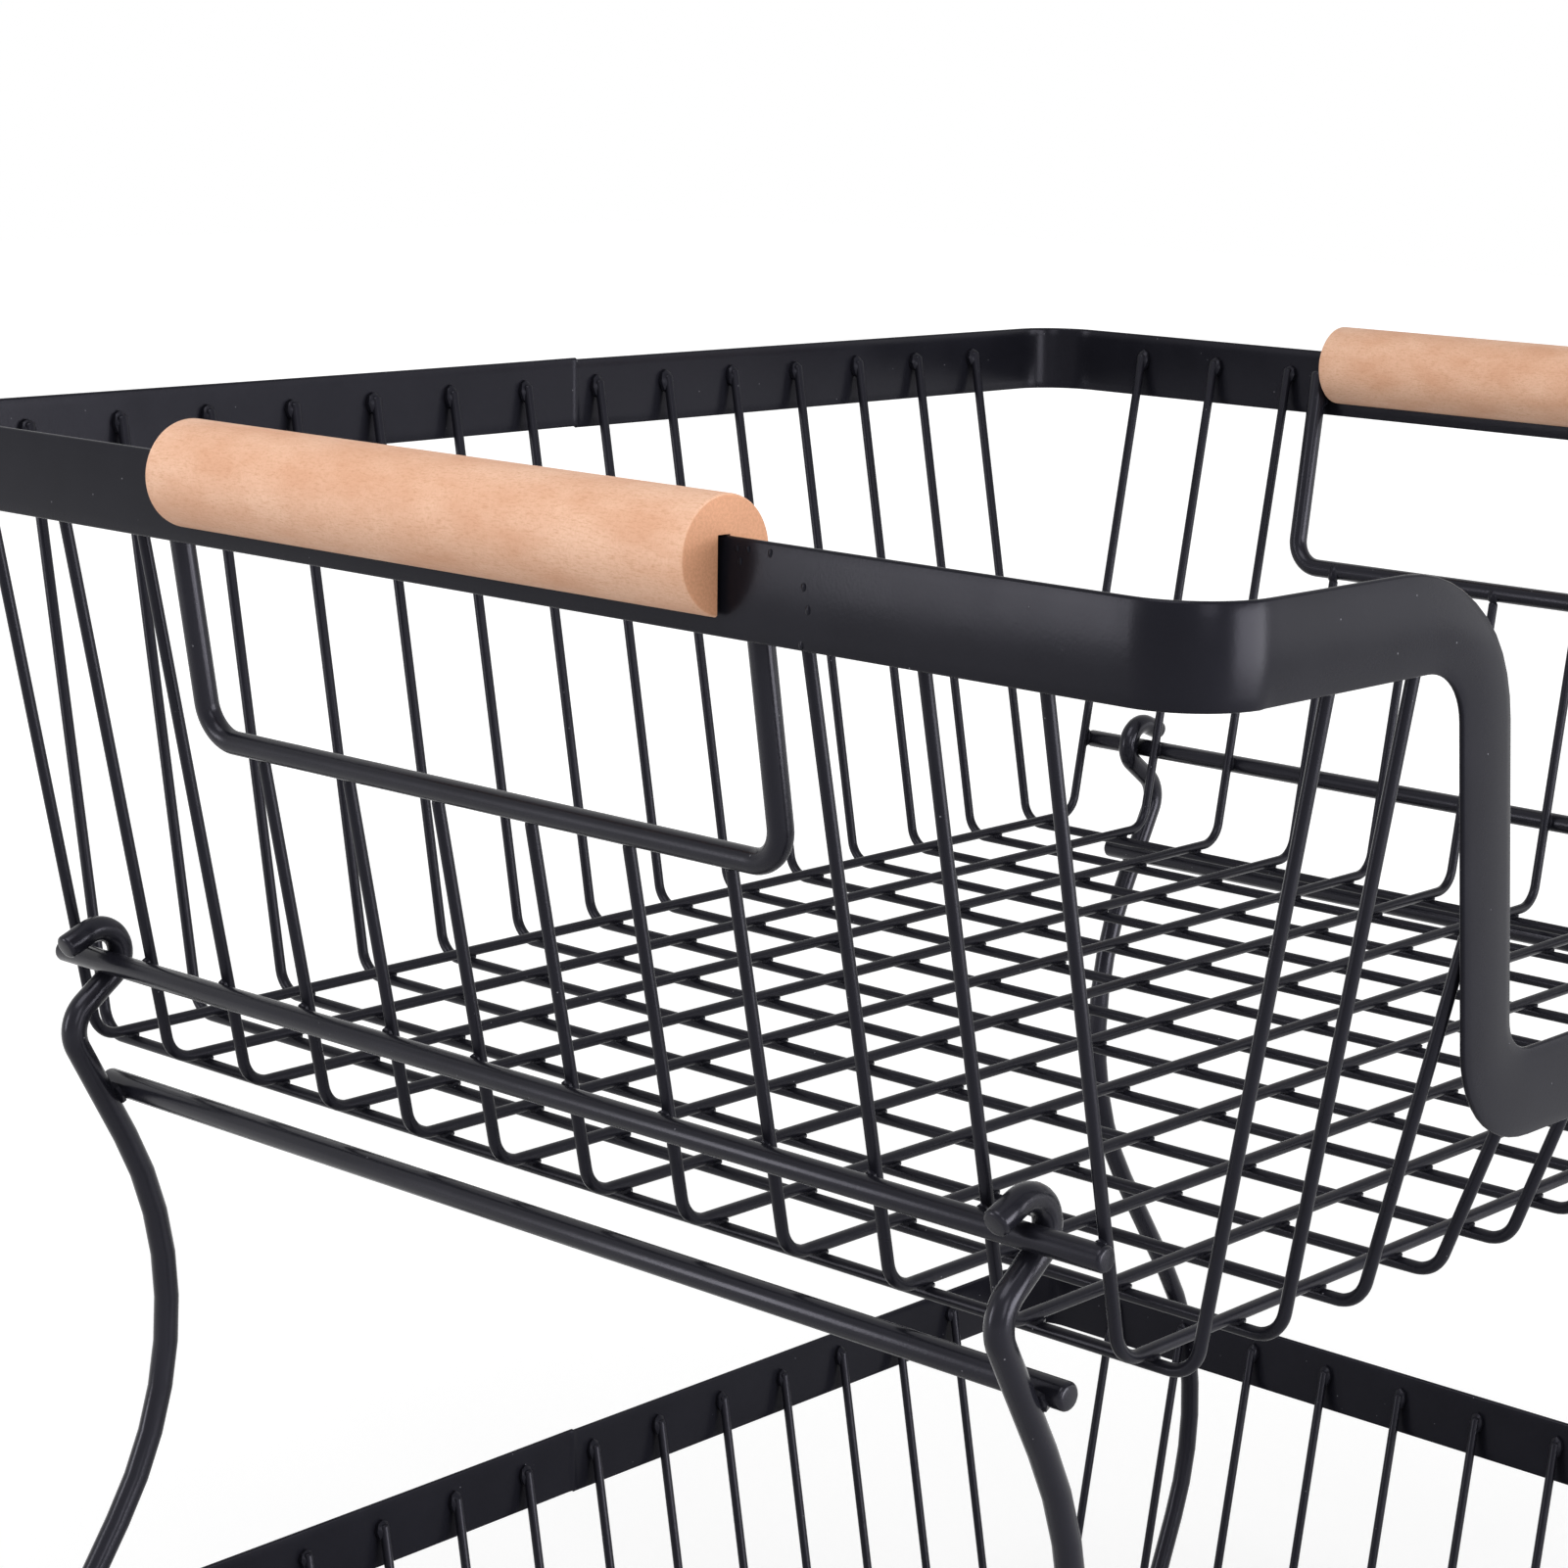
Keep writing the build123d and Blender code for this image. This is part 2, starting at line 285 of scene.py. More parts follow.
@dataclass(frozen=True)
class Beech:
    """Steamed beech dowel, turned and sanded but not oiled.

    To the eye it is a matt pale peach with short dark ray flecks along the grain. Each pattern's size is
    its width across the grain and its length along it. Fibres and end-grain pores are too fine to show in
    the render, so they are drawn several times as coarse. Limits are where a pattern's upper colour
    starts, where it is full, and how much of it shows there.
    """

    name: str = "steamed_beech_sanded"
    pale: str = "#E2B79B"
    warm: str = "#D4A283"
    fleck: str = "#C08A66"
    end_grain: str = "#CE9674"
    roughness: float = 0.6
    ior: float = 1.45
    detail: float = 3.0
    contrast: float = 0.6
    band_mm: tuple[float, float] = (8.0, 19.2)
    band_limits: tuple[float, float, float] = (0.34, 0.62, 1.0)
    fleck_mm: tuple[float, float] = (0.3, 1.5)
    fleck_limits: tuple[float, float, float] = (0.50, 0.72, 0.6)
    speck_mm: tuple[float, float] = (0.45, 0.45)
    speck_limits: tuple[float, float, float] = (0.45, 0.7, 0.3)
    fibre_mm: tuple[float, float] = (0.16, 6.0)
    fibre_height_mm: float = 0.03
    fibre_strength: float = 0.6
    knot_mm: tuple[float, float] = (26.0, 47.2727)
    knot_limits: tuple[float, float, float] = (0.075, 0.02, 0.5)
    pore_mm: float = 0.5
    pore_contrast: float = 0.7
    pore_limits: tuple[float, float, float] = (0.38, 0.6, 1.0)
    end_limits: tuple[float, float, float] = (0.75, 0.92, 1.0)

    def stretch(self, size_mm: tuple[float, float]) -> tuple[float, float, float]:
        """Work out the scale that gives a pattern its size, with the grain along Y.

        Args:
            size_mm: the pattern's width across the grain and its length along it.

        Returns:
            One over the width, for X and Z, and one over the length, for Y, both in metres.
        """
        across, along = (1 / (size * MM) for size in size_mm)
        return across, along, across

    def layered(
        self,
        tree: bpy.types.NodeTree,
        value: bpy.types.NodeSocket,
        limits: tuple[float, float, float],
        under: Colour,
        over: Colour,
    ) -> bpy.types.NodeSocket:
        """Lay one colour over another by a pattern's value.

        Args:
            tree: the node tree.
            value: the pattern's value.
            limits: where the upper colour starts, where it is full, and how much of it shows there.
            under: the lower colour, as a hex value or a socket.
            over: the upper colour, as a hex value or a socket.

        Returns:
            The mixed colour's socket.
        """
        start, full, share = limits
        spread = {"From Min": start, "From Max": full, "To Max": share, "Value": value}
        mix = {"data_type": "RGBA", "Factor": add_node(tree, "MapRange", spread).outputs["Result"]}
        for number, colour in ((MIX_FIRST, under), (MIX_SECOND, over)):
            mix[number] = linear_colour(colour) if isinstance(colour, str) else colour
        return add_node(tree, "Mix", mix).outputs[MIX_RESULT]

    def make(self) -> bpy.types.Material:
        """Build the wood: bands, flecks and fibres along Y, a few knots, and pores where Y faces out.

        Returns:
            The material.
        """
        material, tree = new_material(self.name)
        coords = add_node(tree, "TexCoord")
        place = coords.outputs["Object"]
        *noise_places, knot_place = (
            add_node(tree, "Mapping", {"Scale": self.stretch(size_mm), "Vector": place}).outputs[0]
            for size_mm in (self.band_mm, self.speck_mm, self.fleck_mm, self.fibre_mm, self.knot_mm)
        )
        noise = {"Scale": 1.0, "Detail": self.detail, "Roughness": self.contrast}
        bands, specks, flecks, fibres = (
            add_node(tree, "TexNoise", noise | {"Vector": spot}).outputs["Fac"] for spot in noise_places
        )
        knots = add_node(tree, "TexVoronoi", {"Scale": 1.0, "Vector": knot_place}).outputs["Distance"]
        pore = {"Scale": 1 / (self.pore_mm * MM), "Detail": self.detail, "Roughness": self.pore_contrast}
        pores = add_node(tree, "TexNoise", pore | {"Vector": place}).outputs["Fac"]
        normal = add_node(tree, "SeparateXYZ", {"Vector": coords.outputs["Normal"]})
        facing = add_node(tree, "Math", {"operation": "ABSOLUTE", 0: normal.outputs["Y"]}).outputs[0]
        colour = self.layered(tree, bands, self.band_limits, self.warm, self.pale)
        for value, limits in (
            (flecks, self.fleck_limits),
            (specks, self.speck_limits),
            (knots, self.knot_limits),
        ):
            colour = self.layered(tree, value, limits, colour, self.fleck)
        ends = self.layered(tree, pores, self.pore_limits, self.fleck, self.end_grain)
        colour = self.layered(tree, facing, self.end_limits, colour, ends)
        bump = add_node(
            tree,
            "Bump",
            {"Strength": self.fibre_strength, "Distance": self.fibre_height_mm * MM, "Height": fibres},
        )
        shader = add_node(
            tree,
            "BsdfPrincipled",
            {
                "IOR": self.ior,
                "Roughness": self.roughness,
                "Base Color": colour,
                "Normal": bump.outputs["Normal"],
            },
        )
        add_node(tree, "OutputMaterial", {"Surface": shader.outputs["BSDF"]})
        return material


@dataclass(frozen=True)
class Shell:
    """A mesh in arrays: points in millimetres, four-sided faces and three-sided faces."""

    points: np.ndarray
    quads: np.ndarray = field(default_factory=lambda: np.zeros((0, 4), int))
    triangles: np.ndarray = field(default_factory=lambda: np.zeros((0, 3), int))

    def moved(self, x: float = 0.0, y: float = 0.0, z: float = 0.0) -> "Shell":
        """Give the shell shifted by an amount along each axis."""
        return Shell(self.points + np.array([x, y, z]), self.quads, self.triangles)

    def on_side(self, side: Side) -> "Shell":
        """Put a right-hand shell on a side.

        Args:
            side: the side wanted.

        Returns:
            The shell as it is, or its mirror image in X with its faces turned to point outwards.
        """
        if side is Side.RIGHT:
            return self
        flip = np.array([-1.0, 1.0, 1.0])
        return Shell(self.points * flip, self.quads[:, ::-1], self.triangles[:, ::-1])

    @staticmethod
    def joined(shells: list["Shell"]) -> "Shell":
        """Put shells into one.

        Args:
            shells: the shells, in order.

        Returns:
            One shell, each of whose faces counts from its own shell's first point.
        """
        starts = np.cumsum([0] + [len(s.points) for s in shells[:-1]])
        return Shell(
            np.concatenate([s.points for s in shells]),
            np.concatenate([s.quads + k for s, k in zip(shells, starts)]),
            np.concatenate([s.triangles + k for s, k in zip(shells, starts)]),
        )


def arc(centre: Place, radius: float, start_deg: float, stop_deg: float) -> np.ndarray:
    """Points round part of a circle in a plane: centre plus radius times (cos a, sin a).

    Args:
        centre: the circle's centre.
        radius: its radius.
        start_deg: the first point's angle.
        stop_deg: the last point's angle.

    Returns:
        The points, as an array of two columns.
    """
    count = max(2, round(abs(stop_deg - start_deg) / TURN_DEG) + 1)
    a = np.radians(np.linspace(start_deg, stop_deg, count))
    return np.array(centre) + radius * np.stack([np.cos(a), np.sin(a)], axis=1)


def rounded_path(corners: list[Place], radii: list[float]) -> np.ndarray:
    """Round the inner corners of a flat line.

    Each corner is replaced by an arc that touches both runs. The arc starts and stops at the corner's
    distance r tan(t / 2) for a turn t, and its centre lies on the corner's bisector at r / cos(t / 2).

    Args:
        corners: the line's corner points in its plane.
        radii: a radius for each corner but the first and last.

    Returns:
        The points, as an array of two columns.
    """
    spots = np.array(corners, float)
    pieces = [spots[:1]]
    for k, radius in enumerate(radii, 1):
        before, after = spots[k - 1] - spots[k], spots[k + 1] - spots[k]
        before, after = before / np.linalg.norm(before), after / np.linalg.norm(after)
        middle = (before + after) / np.linalg.norm(before + after)
        half_turn = math.pi / 2 - math.acos(np.clip(before @ after, -1, 1)) / 2
        centre = spots[k] + middle * radius / math.cos(half_turn)
        first = spots[k] + before * radius * math.tan(half_turn) - centre
        start = math.degrees(math.atan2(first[1], first[0]))
        sense = np.sign(before[1] * after[0] - before[0] * after[1])
        pieces.append(arc(tuple(centre), radius, start, start + sense * math.degrees(2 * half_turn)))
    return np.concatenate(pieces + [spots[-1:]])


def in_plane(
    flat: np.ndarray, first: np.ndarray, second: np.ndarray, origin: np.ndarray | None = None
) -> np.ndarray:
    """Stand a flat line up in space: origin plus u times the first direction plus v times the second."""
    base = np.zeros(3) if origin is None else origin
    return base + flat[:, :1] * first + flat[:, 1:2] * second


def ring_faces(rings: int, sides: int, wrap: bool = False) -> np.ndarray:
    """Four-sided faces between neighbouring rings of points, closed round each ring.

    Args:
        rings: how many rings there are.
        sides: points in each ring.
        wrap: whether the last ring joins the first.

    Returns:
        The faces, one row each.
    """
    i, j = np.meshgrid(np.arange(rings if wrap else rings - 1), np.arange(sides), indexing="ij")
    a, b = i * sides + j, i * sides + (j + 1) % sides
    c, d = ((i + 1) % rings) * sides + (j + 1) % sides, ((i + 1) % rings) * sides + j
    return np.stack([a, b, c, d], axis=-1).reshape(-1, 4)


def end_fans(rings: int, sides: int) -> np.ndarray:
    """Three-sided faces that close the first and last of some rings, each on a point of its own.

    Args:
        rings: how many rings there are.
        sides: points in each ring; the two closing points come after the last ring's.

    Returns:
        The faces, one row each.
    """
    k = np.arange(sides)
    after = (k + 1) % sides
    top, pole = (rings - 1) * sides, rings * sides
    first = np.stack([np.full(sides, pole), after, k], axis=1)
    last = np.stack([np.full(sides, pole + 1), top + k, top + after], axis=1)
    return np.concatenate([first, last])


def bar(line: np.ndarray, across: np.ndarray, diameter: float, sides: int, soft: float) -> Shell:
    """A round bar with softened ends, as a circle carried along a flat line.

    A point is line + q (cos a A + sin a B), where A is the direction across the line's plane, B the tangent
    times A, and q the radius. At each end four rings step in by a quarter circle of the soft radius, and a
    point closes the ring.

    Args:
        line: the centre line's points.
        across: the unit direction square to the line's plane.
        diameter: the bar's diameter.
        sides: points round the circle.
        soft: the radius that softens each end's edge.

    Returns:
        The bar.
    """
    steps_in = len(SOFT_TURNS)
    inset, shrink = soft * (1 - np.sin(SOFT_TURNS)), soft * (1 - np.cos(SOFT_TURNS))
    head = (line[1] - line[0]) / np.linalg.norm(line[1] - line[0])
    tail = (line[-1] - line[-2]) / np.linalg.norm(line[-1] - line[-2])
    centres = np.concatenate(
        [line[0] + inset[:, None] * head, line[1:-1], line[-1] - inset[::-1, None] * tail]
    )
    along = np.r_[0.0, np.cumsum(np.linalg.norm(np.diff(centres, axis=0), axis=1))]
    along += np.arange(len(along)) * HAIR
    tangents = np.gradient(centres, along, axis=0)
    tangents[:steps_in], tangents[-steps_in:] = head, tail
    tangents /= np.linalg.norm(tangents, axis=1)[:, None]
    radius = np.full(len(centres), diameter / 2)
    radius[:steps_in] -= shrink
    radius[-steps_in:] -= shrink[::-1]
    a = np.linspace(0, 2 * math.pi, sides, endpoint=False)
    beside = np.cross(tangents, across)
    ring = np.cos(a)[:, None] * across + np.sin(a)[:, None] * beside[:, None, :]
    points = (centres[:, None, :] + radius[:, None, None] * ring).reshape(-1, 3)
    points = np.concatenate([points, line[:1], line[-1:]])
    return Shell(points, ring_faces(len(centres), sides), end_fans(len(centres), sides))


def beads(
    centres: np.ndarray,
    axes: np.ndarray,
    sides: int = 8,
    rings: int = 4,
    uneven: float = 0.14,
    seed: int = 3,
) -> Shell:
    """Weld beads: balls stretched along three directions, a little uneven in size.

    A point is the centre plus cos v cos u, cos v sin u and sin v times the three half axes.

    Args:
        centres: each bead's middle, one row a bead.
        axes: three half axes for each bead, as rows.
        sides: points round a bead.
        rings: rings between its two poles.
        uneven: the largest share by which a half axis is longer or shorter.
        seed: the start of the random unevenness.

    Returns:
        All the beads.
    """
    count = len(centres)
    scale = 1 + uneven * np.random.default_rng(seed).uniform(-1, 1, (count, 3, 1))
    u = np.linspace(0, 2 * math.pi, sides, endpoint=False)
    v = np.radians(np.linspace(-90, 90, rings + 2)[1:-1])
    body = np.stack(
        [
            np.outer(np.cos(v), np.cos(u)),
            np.outer(np.cos(v), np.sin(u)),
            np.outer(np.sin(v), np.ones(sides)),
        ],
        axis=-1,
    )
    unit = np.concatenate([body.reshape(-1, 3), [-UP, UP]])
    points = centres[:, None, :] + np.einsum("pk,nkc->npc", unit, axes * scale)
    base = (np.arange(count) * len(unit))[:, None, None]
    turned = np.linalg.det(axes)[:, None, None] < 0
    quads, fans = (
        np.where(turned, faces[None, :, ::-1], faces[None]) + base
        for faces in (ring_faces(rings, sides), end_fans(rings, sides))
    )
    return Shell(points.reshape(-1, 3), quads.reshape(-1, 4), fans.reshape(-1, 3))


def bead_rows(
    places: np.ndarray, along: np.ndarray, across: np.ndarray, half: tuple[float, float, float]
) -> Shell:
    """Beads of one size that all lie one way.

    Args:
        places: each bead's middle, one row a bead.
        along: the direction of the first half axis.
        across: the direction of the second. The third is square to both.
        half: the three half axes' lengths.

    Returns:
        All the beads.
    """
    third = np.cross(along, across)
    axes = np.stack([along * half[0], across * half[1], third / np.linalg.norm(third) * half[2]])
    return beads(places, np.repeat(axes[None], len(places), axis=0))


@dataclass(frozen=True)
class Workshop:
    """Writes shells to Blender and dresses them in their finishes."""

    finishes: dict[Slot, bpy.types.Material]

    def put(self, name: str, shell: Shell, slot: Slot, body: str, node: str = "") -> bpy.types.Object:
        """Make one piece of a shell, in metres, with its place in its mesh.

        Args:
            name: the piece's name.
            shell: its points and faces.
            slot: the material slot that its finish comes from.
            body: the body that it moves with.
            node: the frame's node that it stands for, if any.

        Returns:
            The new object.
        """
        mesh = bpy.data.meshes.new(name)
        mesh.from_pydata((shell.points * MM).tolist(), [], shell.quads.tolist() + shell.triangles.tolist())
        mesh.validate()
        smooth(mesh)
        mesh.materials.append(self.finishes[slot])
        piece = bpy.data.objects.new(name, mesh)
        bpy.context.scene.collection.objects.link(piece)
        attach(piece, body)
        if node:
            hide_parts(node)
        LOG.info("%s: %d points, %d faces, on %s", name, len(mesh.vertices), len(mesh.polygons), body)
        return piece


def smooth(mesh: bpy.types.Mesh) -> None:
    """Shade a mesh smooth, with its sharp edges kept crisp."""
    mesh.shade_smooth()
    mesh.set_sharp_from_angle(angle=math.radians(SHARP_DEG))


@dataclass(frozen=True)
class RimStrip:
    """The flat bar on edge: round four corners, and down and back up in the front dip.

    Of each pair of bends, the first is on the strip's upper edge and the second on its lower one. The three
    ring counts are for the level run, the dip's side and its low run. The fade places are rings beyond the
    butt joint, where the edge that stands high comes down.
    """

    width: float = 364.0
    depth: float = 332.0
    corner_radius: float = 15.0
    height: float = 16.2
    thickness: float = 1.5
    edge_radius: float = 0.45
    crown: float = 0.5
    dip_top: float = 222.4
    dip_bottom: float = 182.9
    dip_drop: float = 85.0
    side_width: float = 13.4
    top_bends: tuple[float, float] = (34.0, 11.8)
    bottom_bends: tuple[float, float] = (8.0, 24.6)
    lean_deg: float = 5.5
    fold_drop: float = 12.0
    fold_radius: float = 60.0
    seam_x: float = 5.0
    seam_width: float = 0.8
    seam_swell: float = 0.16
    seam_step: float = 0.35
    step_fade: float = 45.0
    side_lumps: tuple[Place, ...] = (
        (-75.6, -1.6),
        (-80.4, -1.7),
        (-74.1, -3.6),
        (-73.2, -1.7),
        (-87.8, -6.1),
        (-88.8, -9.5),
        (-87.1, -15.2),
    )
    lump: tuple[float, float, float] = (0.75, 0.55, 0.22)
    face_points: int = 9
    run_rings: tuple[int, int, int] = (16, 14, 22)
    plain_step: float = 40.0
    seam_reach: float = 3.0
    seam_rings: int = 25
    fade_places: tuple[float, float, float] = (0.02, 12.0, 25.0)
    least_step: float = 0.01
    place_digits: int = 4

    def section(self) -> np.ndarray:
        """The bar's outline, as pairs of place along its height and place through it.

        The edges are quarter circles, and the outer face is crowned: it falls back by the crown times the
        square of the share of the way to an edge.

        Returns:
            The outline's points.
        """
        half_h, half_t, r = self.height / 2, self.thickness / 2, self.edge_radius
        quarter = SOFT_TURNS[::-1]
        run = np.linspace(-(half_h - r), half_h - r, self.face_points)[1:-1]
        corner = [
            np.stack([sx * (half_h - r) + r * np.cos(q), sy * (half_t - r) + r * np.sin(q)], axis=1)
            for sx, sy, q in (
                (1, 1, quarter),
                (-1, 1, quarter + math.pi / 2),
                (-1, -1, quarter + math.pi),
                (1, -1, quarter + 1.5 * math.pi),
            )
        ]
        outer = np.stack([run[::-1], np.full(len(run), half_t)], axis=1)
        inner = np.stack([run, np.full(len(run), -half_t)], axis=1)
        outline = np.concatenate([corner[0], outer, corner[1], corner[2], inner, corner[3]])
        fall = self.crown * (outline[:, 0] / half_h) ** 2
        outline[:, 1] -= np.where(outline[:, 1] > 0, fall, 0.0)
        return outline

    def sheet(self, drop: np.ndarray) -> tuple[np.ndarray, np.ndarray]:
        """The folded sheet that the front run lies in.

        It hangs straight down, turns inwards on the fold radius, and then leans. On the fold the turn b
        comes from sin b = (drop - start) / R, and the sheet's Y is R (1 - cos b) further in.

        Args:
            drop: depths below the rim's top.

        Returns:
            The middle plane's Y at each depth, and the sheet's lean there in radians.
        """
        lean = math.radians(self.lean_deg)
        radius = self.fold_radius - self.thickness / 2
        start = self.fold_drop - self.fold_radius * math.tan(lean / 2)
        turn = np.arcsin(np.clip((drop - start) / radius, 0.0, math.sin(lean)))
        past = np.maximum(drop - start - radius * math.sin(lean), 0.0)
        y = -self.depth / 2 + self.thickness / 2 + radius * (1 - np.cos(turn)) + past * math.tan(lean)
        return y, turn

    def front_edge(self, edge: int) -> np.ndarray:
        """One edge of the front run, as pairs of X and height, which is zero at the rim's top.

        Args:
            edge: 1 for the lower edge, -1 for the upper one.

        Returns:
            The edge's points. Both edges have the same number, set out alike.
        """
        slope = (self.dip_top - self.dip_bottom) / 2 / self.dip_drop
        top = -self.height / 2 * (1 + edge)
        low = top - self.dip_drop
        stretch = math.hypot(1, slope)
        top_x = self.dip_top / 2 + edge * (self.side_width * stretch - slope * self.height) / 2
        low_x = top_x - slope * self.dip_drop
        reach = self.width / 2 - self.corner_radius
        which = (1 + edge) // 2
        corners = [(-reach, top), (-top_x, top), (-low_x, low), (0.0, low)]
        path = rounded_path(corners, [self.top_bends[which], self.bottom_bends[which]])
        turns = (len(path) - 2) // 2
        level_rings, side_rings, low_rings = self.run_rings
        half = np.concatenate(
            [
                np.linspace(path[0], path[1], level_rings)[:-1],
                path[1 : turns + 1],
                np.linspace(path[turns], path[turns + 1], side_rings)[1:-1],
                path[turns + 1 : -1],
                np.linspace(path[-2], path[-1], low_rings)[1:],
            ]
        )
        return np.concatenate([half, half[-2::-1] * np.array([-1.0, 1.0])])

    def front(self, section: np.ndarray) -> np.ndarray:
        """Rings of the front run: the outline stretched between the two edges and laid on the folded sheet.

        Args:
            section: the bar's outline.

        Returns:
            The rings, by ring, point and axis.
        """
        low, high = self.front_edge(1), self.front_edge(-1)
        share = section[None, :, :1] / self.height + 0.5
        flat = low[:, None, :] * (1 - share) + high[:, None, :] * share
        y, lean = self.sheet(-flat[..., 1])
        through = section[None, :, 1]
        return np.stack(
            [flat[..., 0], y - through * np.cos(lean), flat[..., 1] - through * np.sin(lean)], axis=-1
        )

    def filled(self, rows: np.ndarray) -> np.ndarray:
        """Add rows along the rest of the loop: a plain step apart, and close together at the butt joint.

        Args:
            rows: points, with any further columns that go along with them.

        Returns:
            The fuller rows, by straight interpolation along the line.
        """
        along = np.r_[0.0, np.cumsum(np.linalg.norm(np.diff(rows[:, :2], axis=0), axis=1))]
        back = np.flatnonzero(np.isclose(rows[:, 1], rows[:, 1].max()))
        joint = along[back[0]] + rows[back[0], 0] - self.seam_x
        near = np.linspace(-self.seam_reach, self.seam_reach, self.seam_rings)
        plain = np.arange(0.0, along[-1], self.plain_step)
        wanted = np.concatenate([along, plain, joint + near, joint + np.array(self.fade_places)])
        places = np.unique(np.round(wanted, self.place_digits))
        places = places[np.r_[True, np.diff(places) > self.least_step]]
        return np.stack([np.interp(places, along, column) for column in rows.T], axis=1)

    def round_back(self, section: np.ndarray) -> np.ndarray:
        """Rings of the rest of the loop: up the right side, along the back and down the left side.

        At the butt joint in the back the bar swells by a bell curve of the distance from the joint, and
        the edge beyond it stands a little high, less and less further off.

        Args:
            section: the bar's outline.

        Returns:
            The rings, by ring, point and axis.
        """
        radius = self.corner_radius - self.thickness / 2
        x, y = self.width / 2 - self.corner_radius, self.depth / 2 - self.corner_radius
        turns = [((x, -y), -90.0), ((x, y), 0.0), ((-x, y), 90.0), ((-x, -y), 180.0)]
        line = np.concatenate([arc(centre, radius, start, start + 90.0) for centre, start in turns])
        normal = np.concatenate([arc((0.0, 0.0), 1.0, start, start + 90.0) for _, start in turns])
        keep = np.r_[True, np.linalg.norm(np.diff(line, axis=0), axis=1) > SAME_PLACE]
        both = self.filled(np.concatenate([line[keep], normal[keep]], axis=1))
        line, normal = both[:, :2], both[:, 2:] / np.linalg.norm(both[:, 2:], axis=1)[:, None]
        at_back = line[:, 1] > y + radius - SAME_PLACE
        off = line[:, 0] - self.seam_x
        bell = 2 * self.seam_swell / self.thickness * np.exp(-((off / self.seam_width) ** 2))
        lift = np.where(at_back & (off < 0), self.seam_step * np.exp(off / self.step_fade), 0.0)
        through = section[None, :, 1] * (1 + np.where(at_back, bell, 0.0))[:, None]
        plan = line[:, None, :] + normal[:, None, :] * through[..., None]
        height = section[None, :, 0] - self.height / 2 + lift[:, None]
        return np.concatenate([plan, height[..., None]], axis=-1)

    def lumps(self, top: float) -> Shell:
        """The few lumps baked into the coat beside the left grip, half sunk in the strip's outer face.

        Args:
            top: height of the strip's top edge.

        Returns:
            The lumps, which follow the face's crown.
        """
        side = np.array(self.side_lumps)
        fall = self.crown * ((side[:, 1] + self.height / 2) * 2 / self.height) ** 2
        on_left = np.stack([fall - self.width / 2, side[:, 0], top + side[:, 1]], axis=1)
        return bead_rows(on_left, UP, ALONG_Y, self.lump)

    def shell(self, top: float) -> Shell:
        """The whole strip as one closed loop of rings.

        Args:
            top: height of the strip's top edge.

        Returns:
            The strip.
        """
        section = self.section()
        rings = np.concatenate([self.front(section)[:-1], self.round_back(section)[:-1]])
        count, sides = rings.shape[:2]
        return Shell(rings.reshape(-1, 3), ring_faces(count, sides, wrap=True)).moved(z=top)


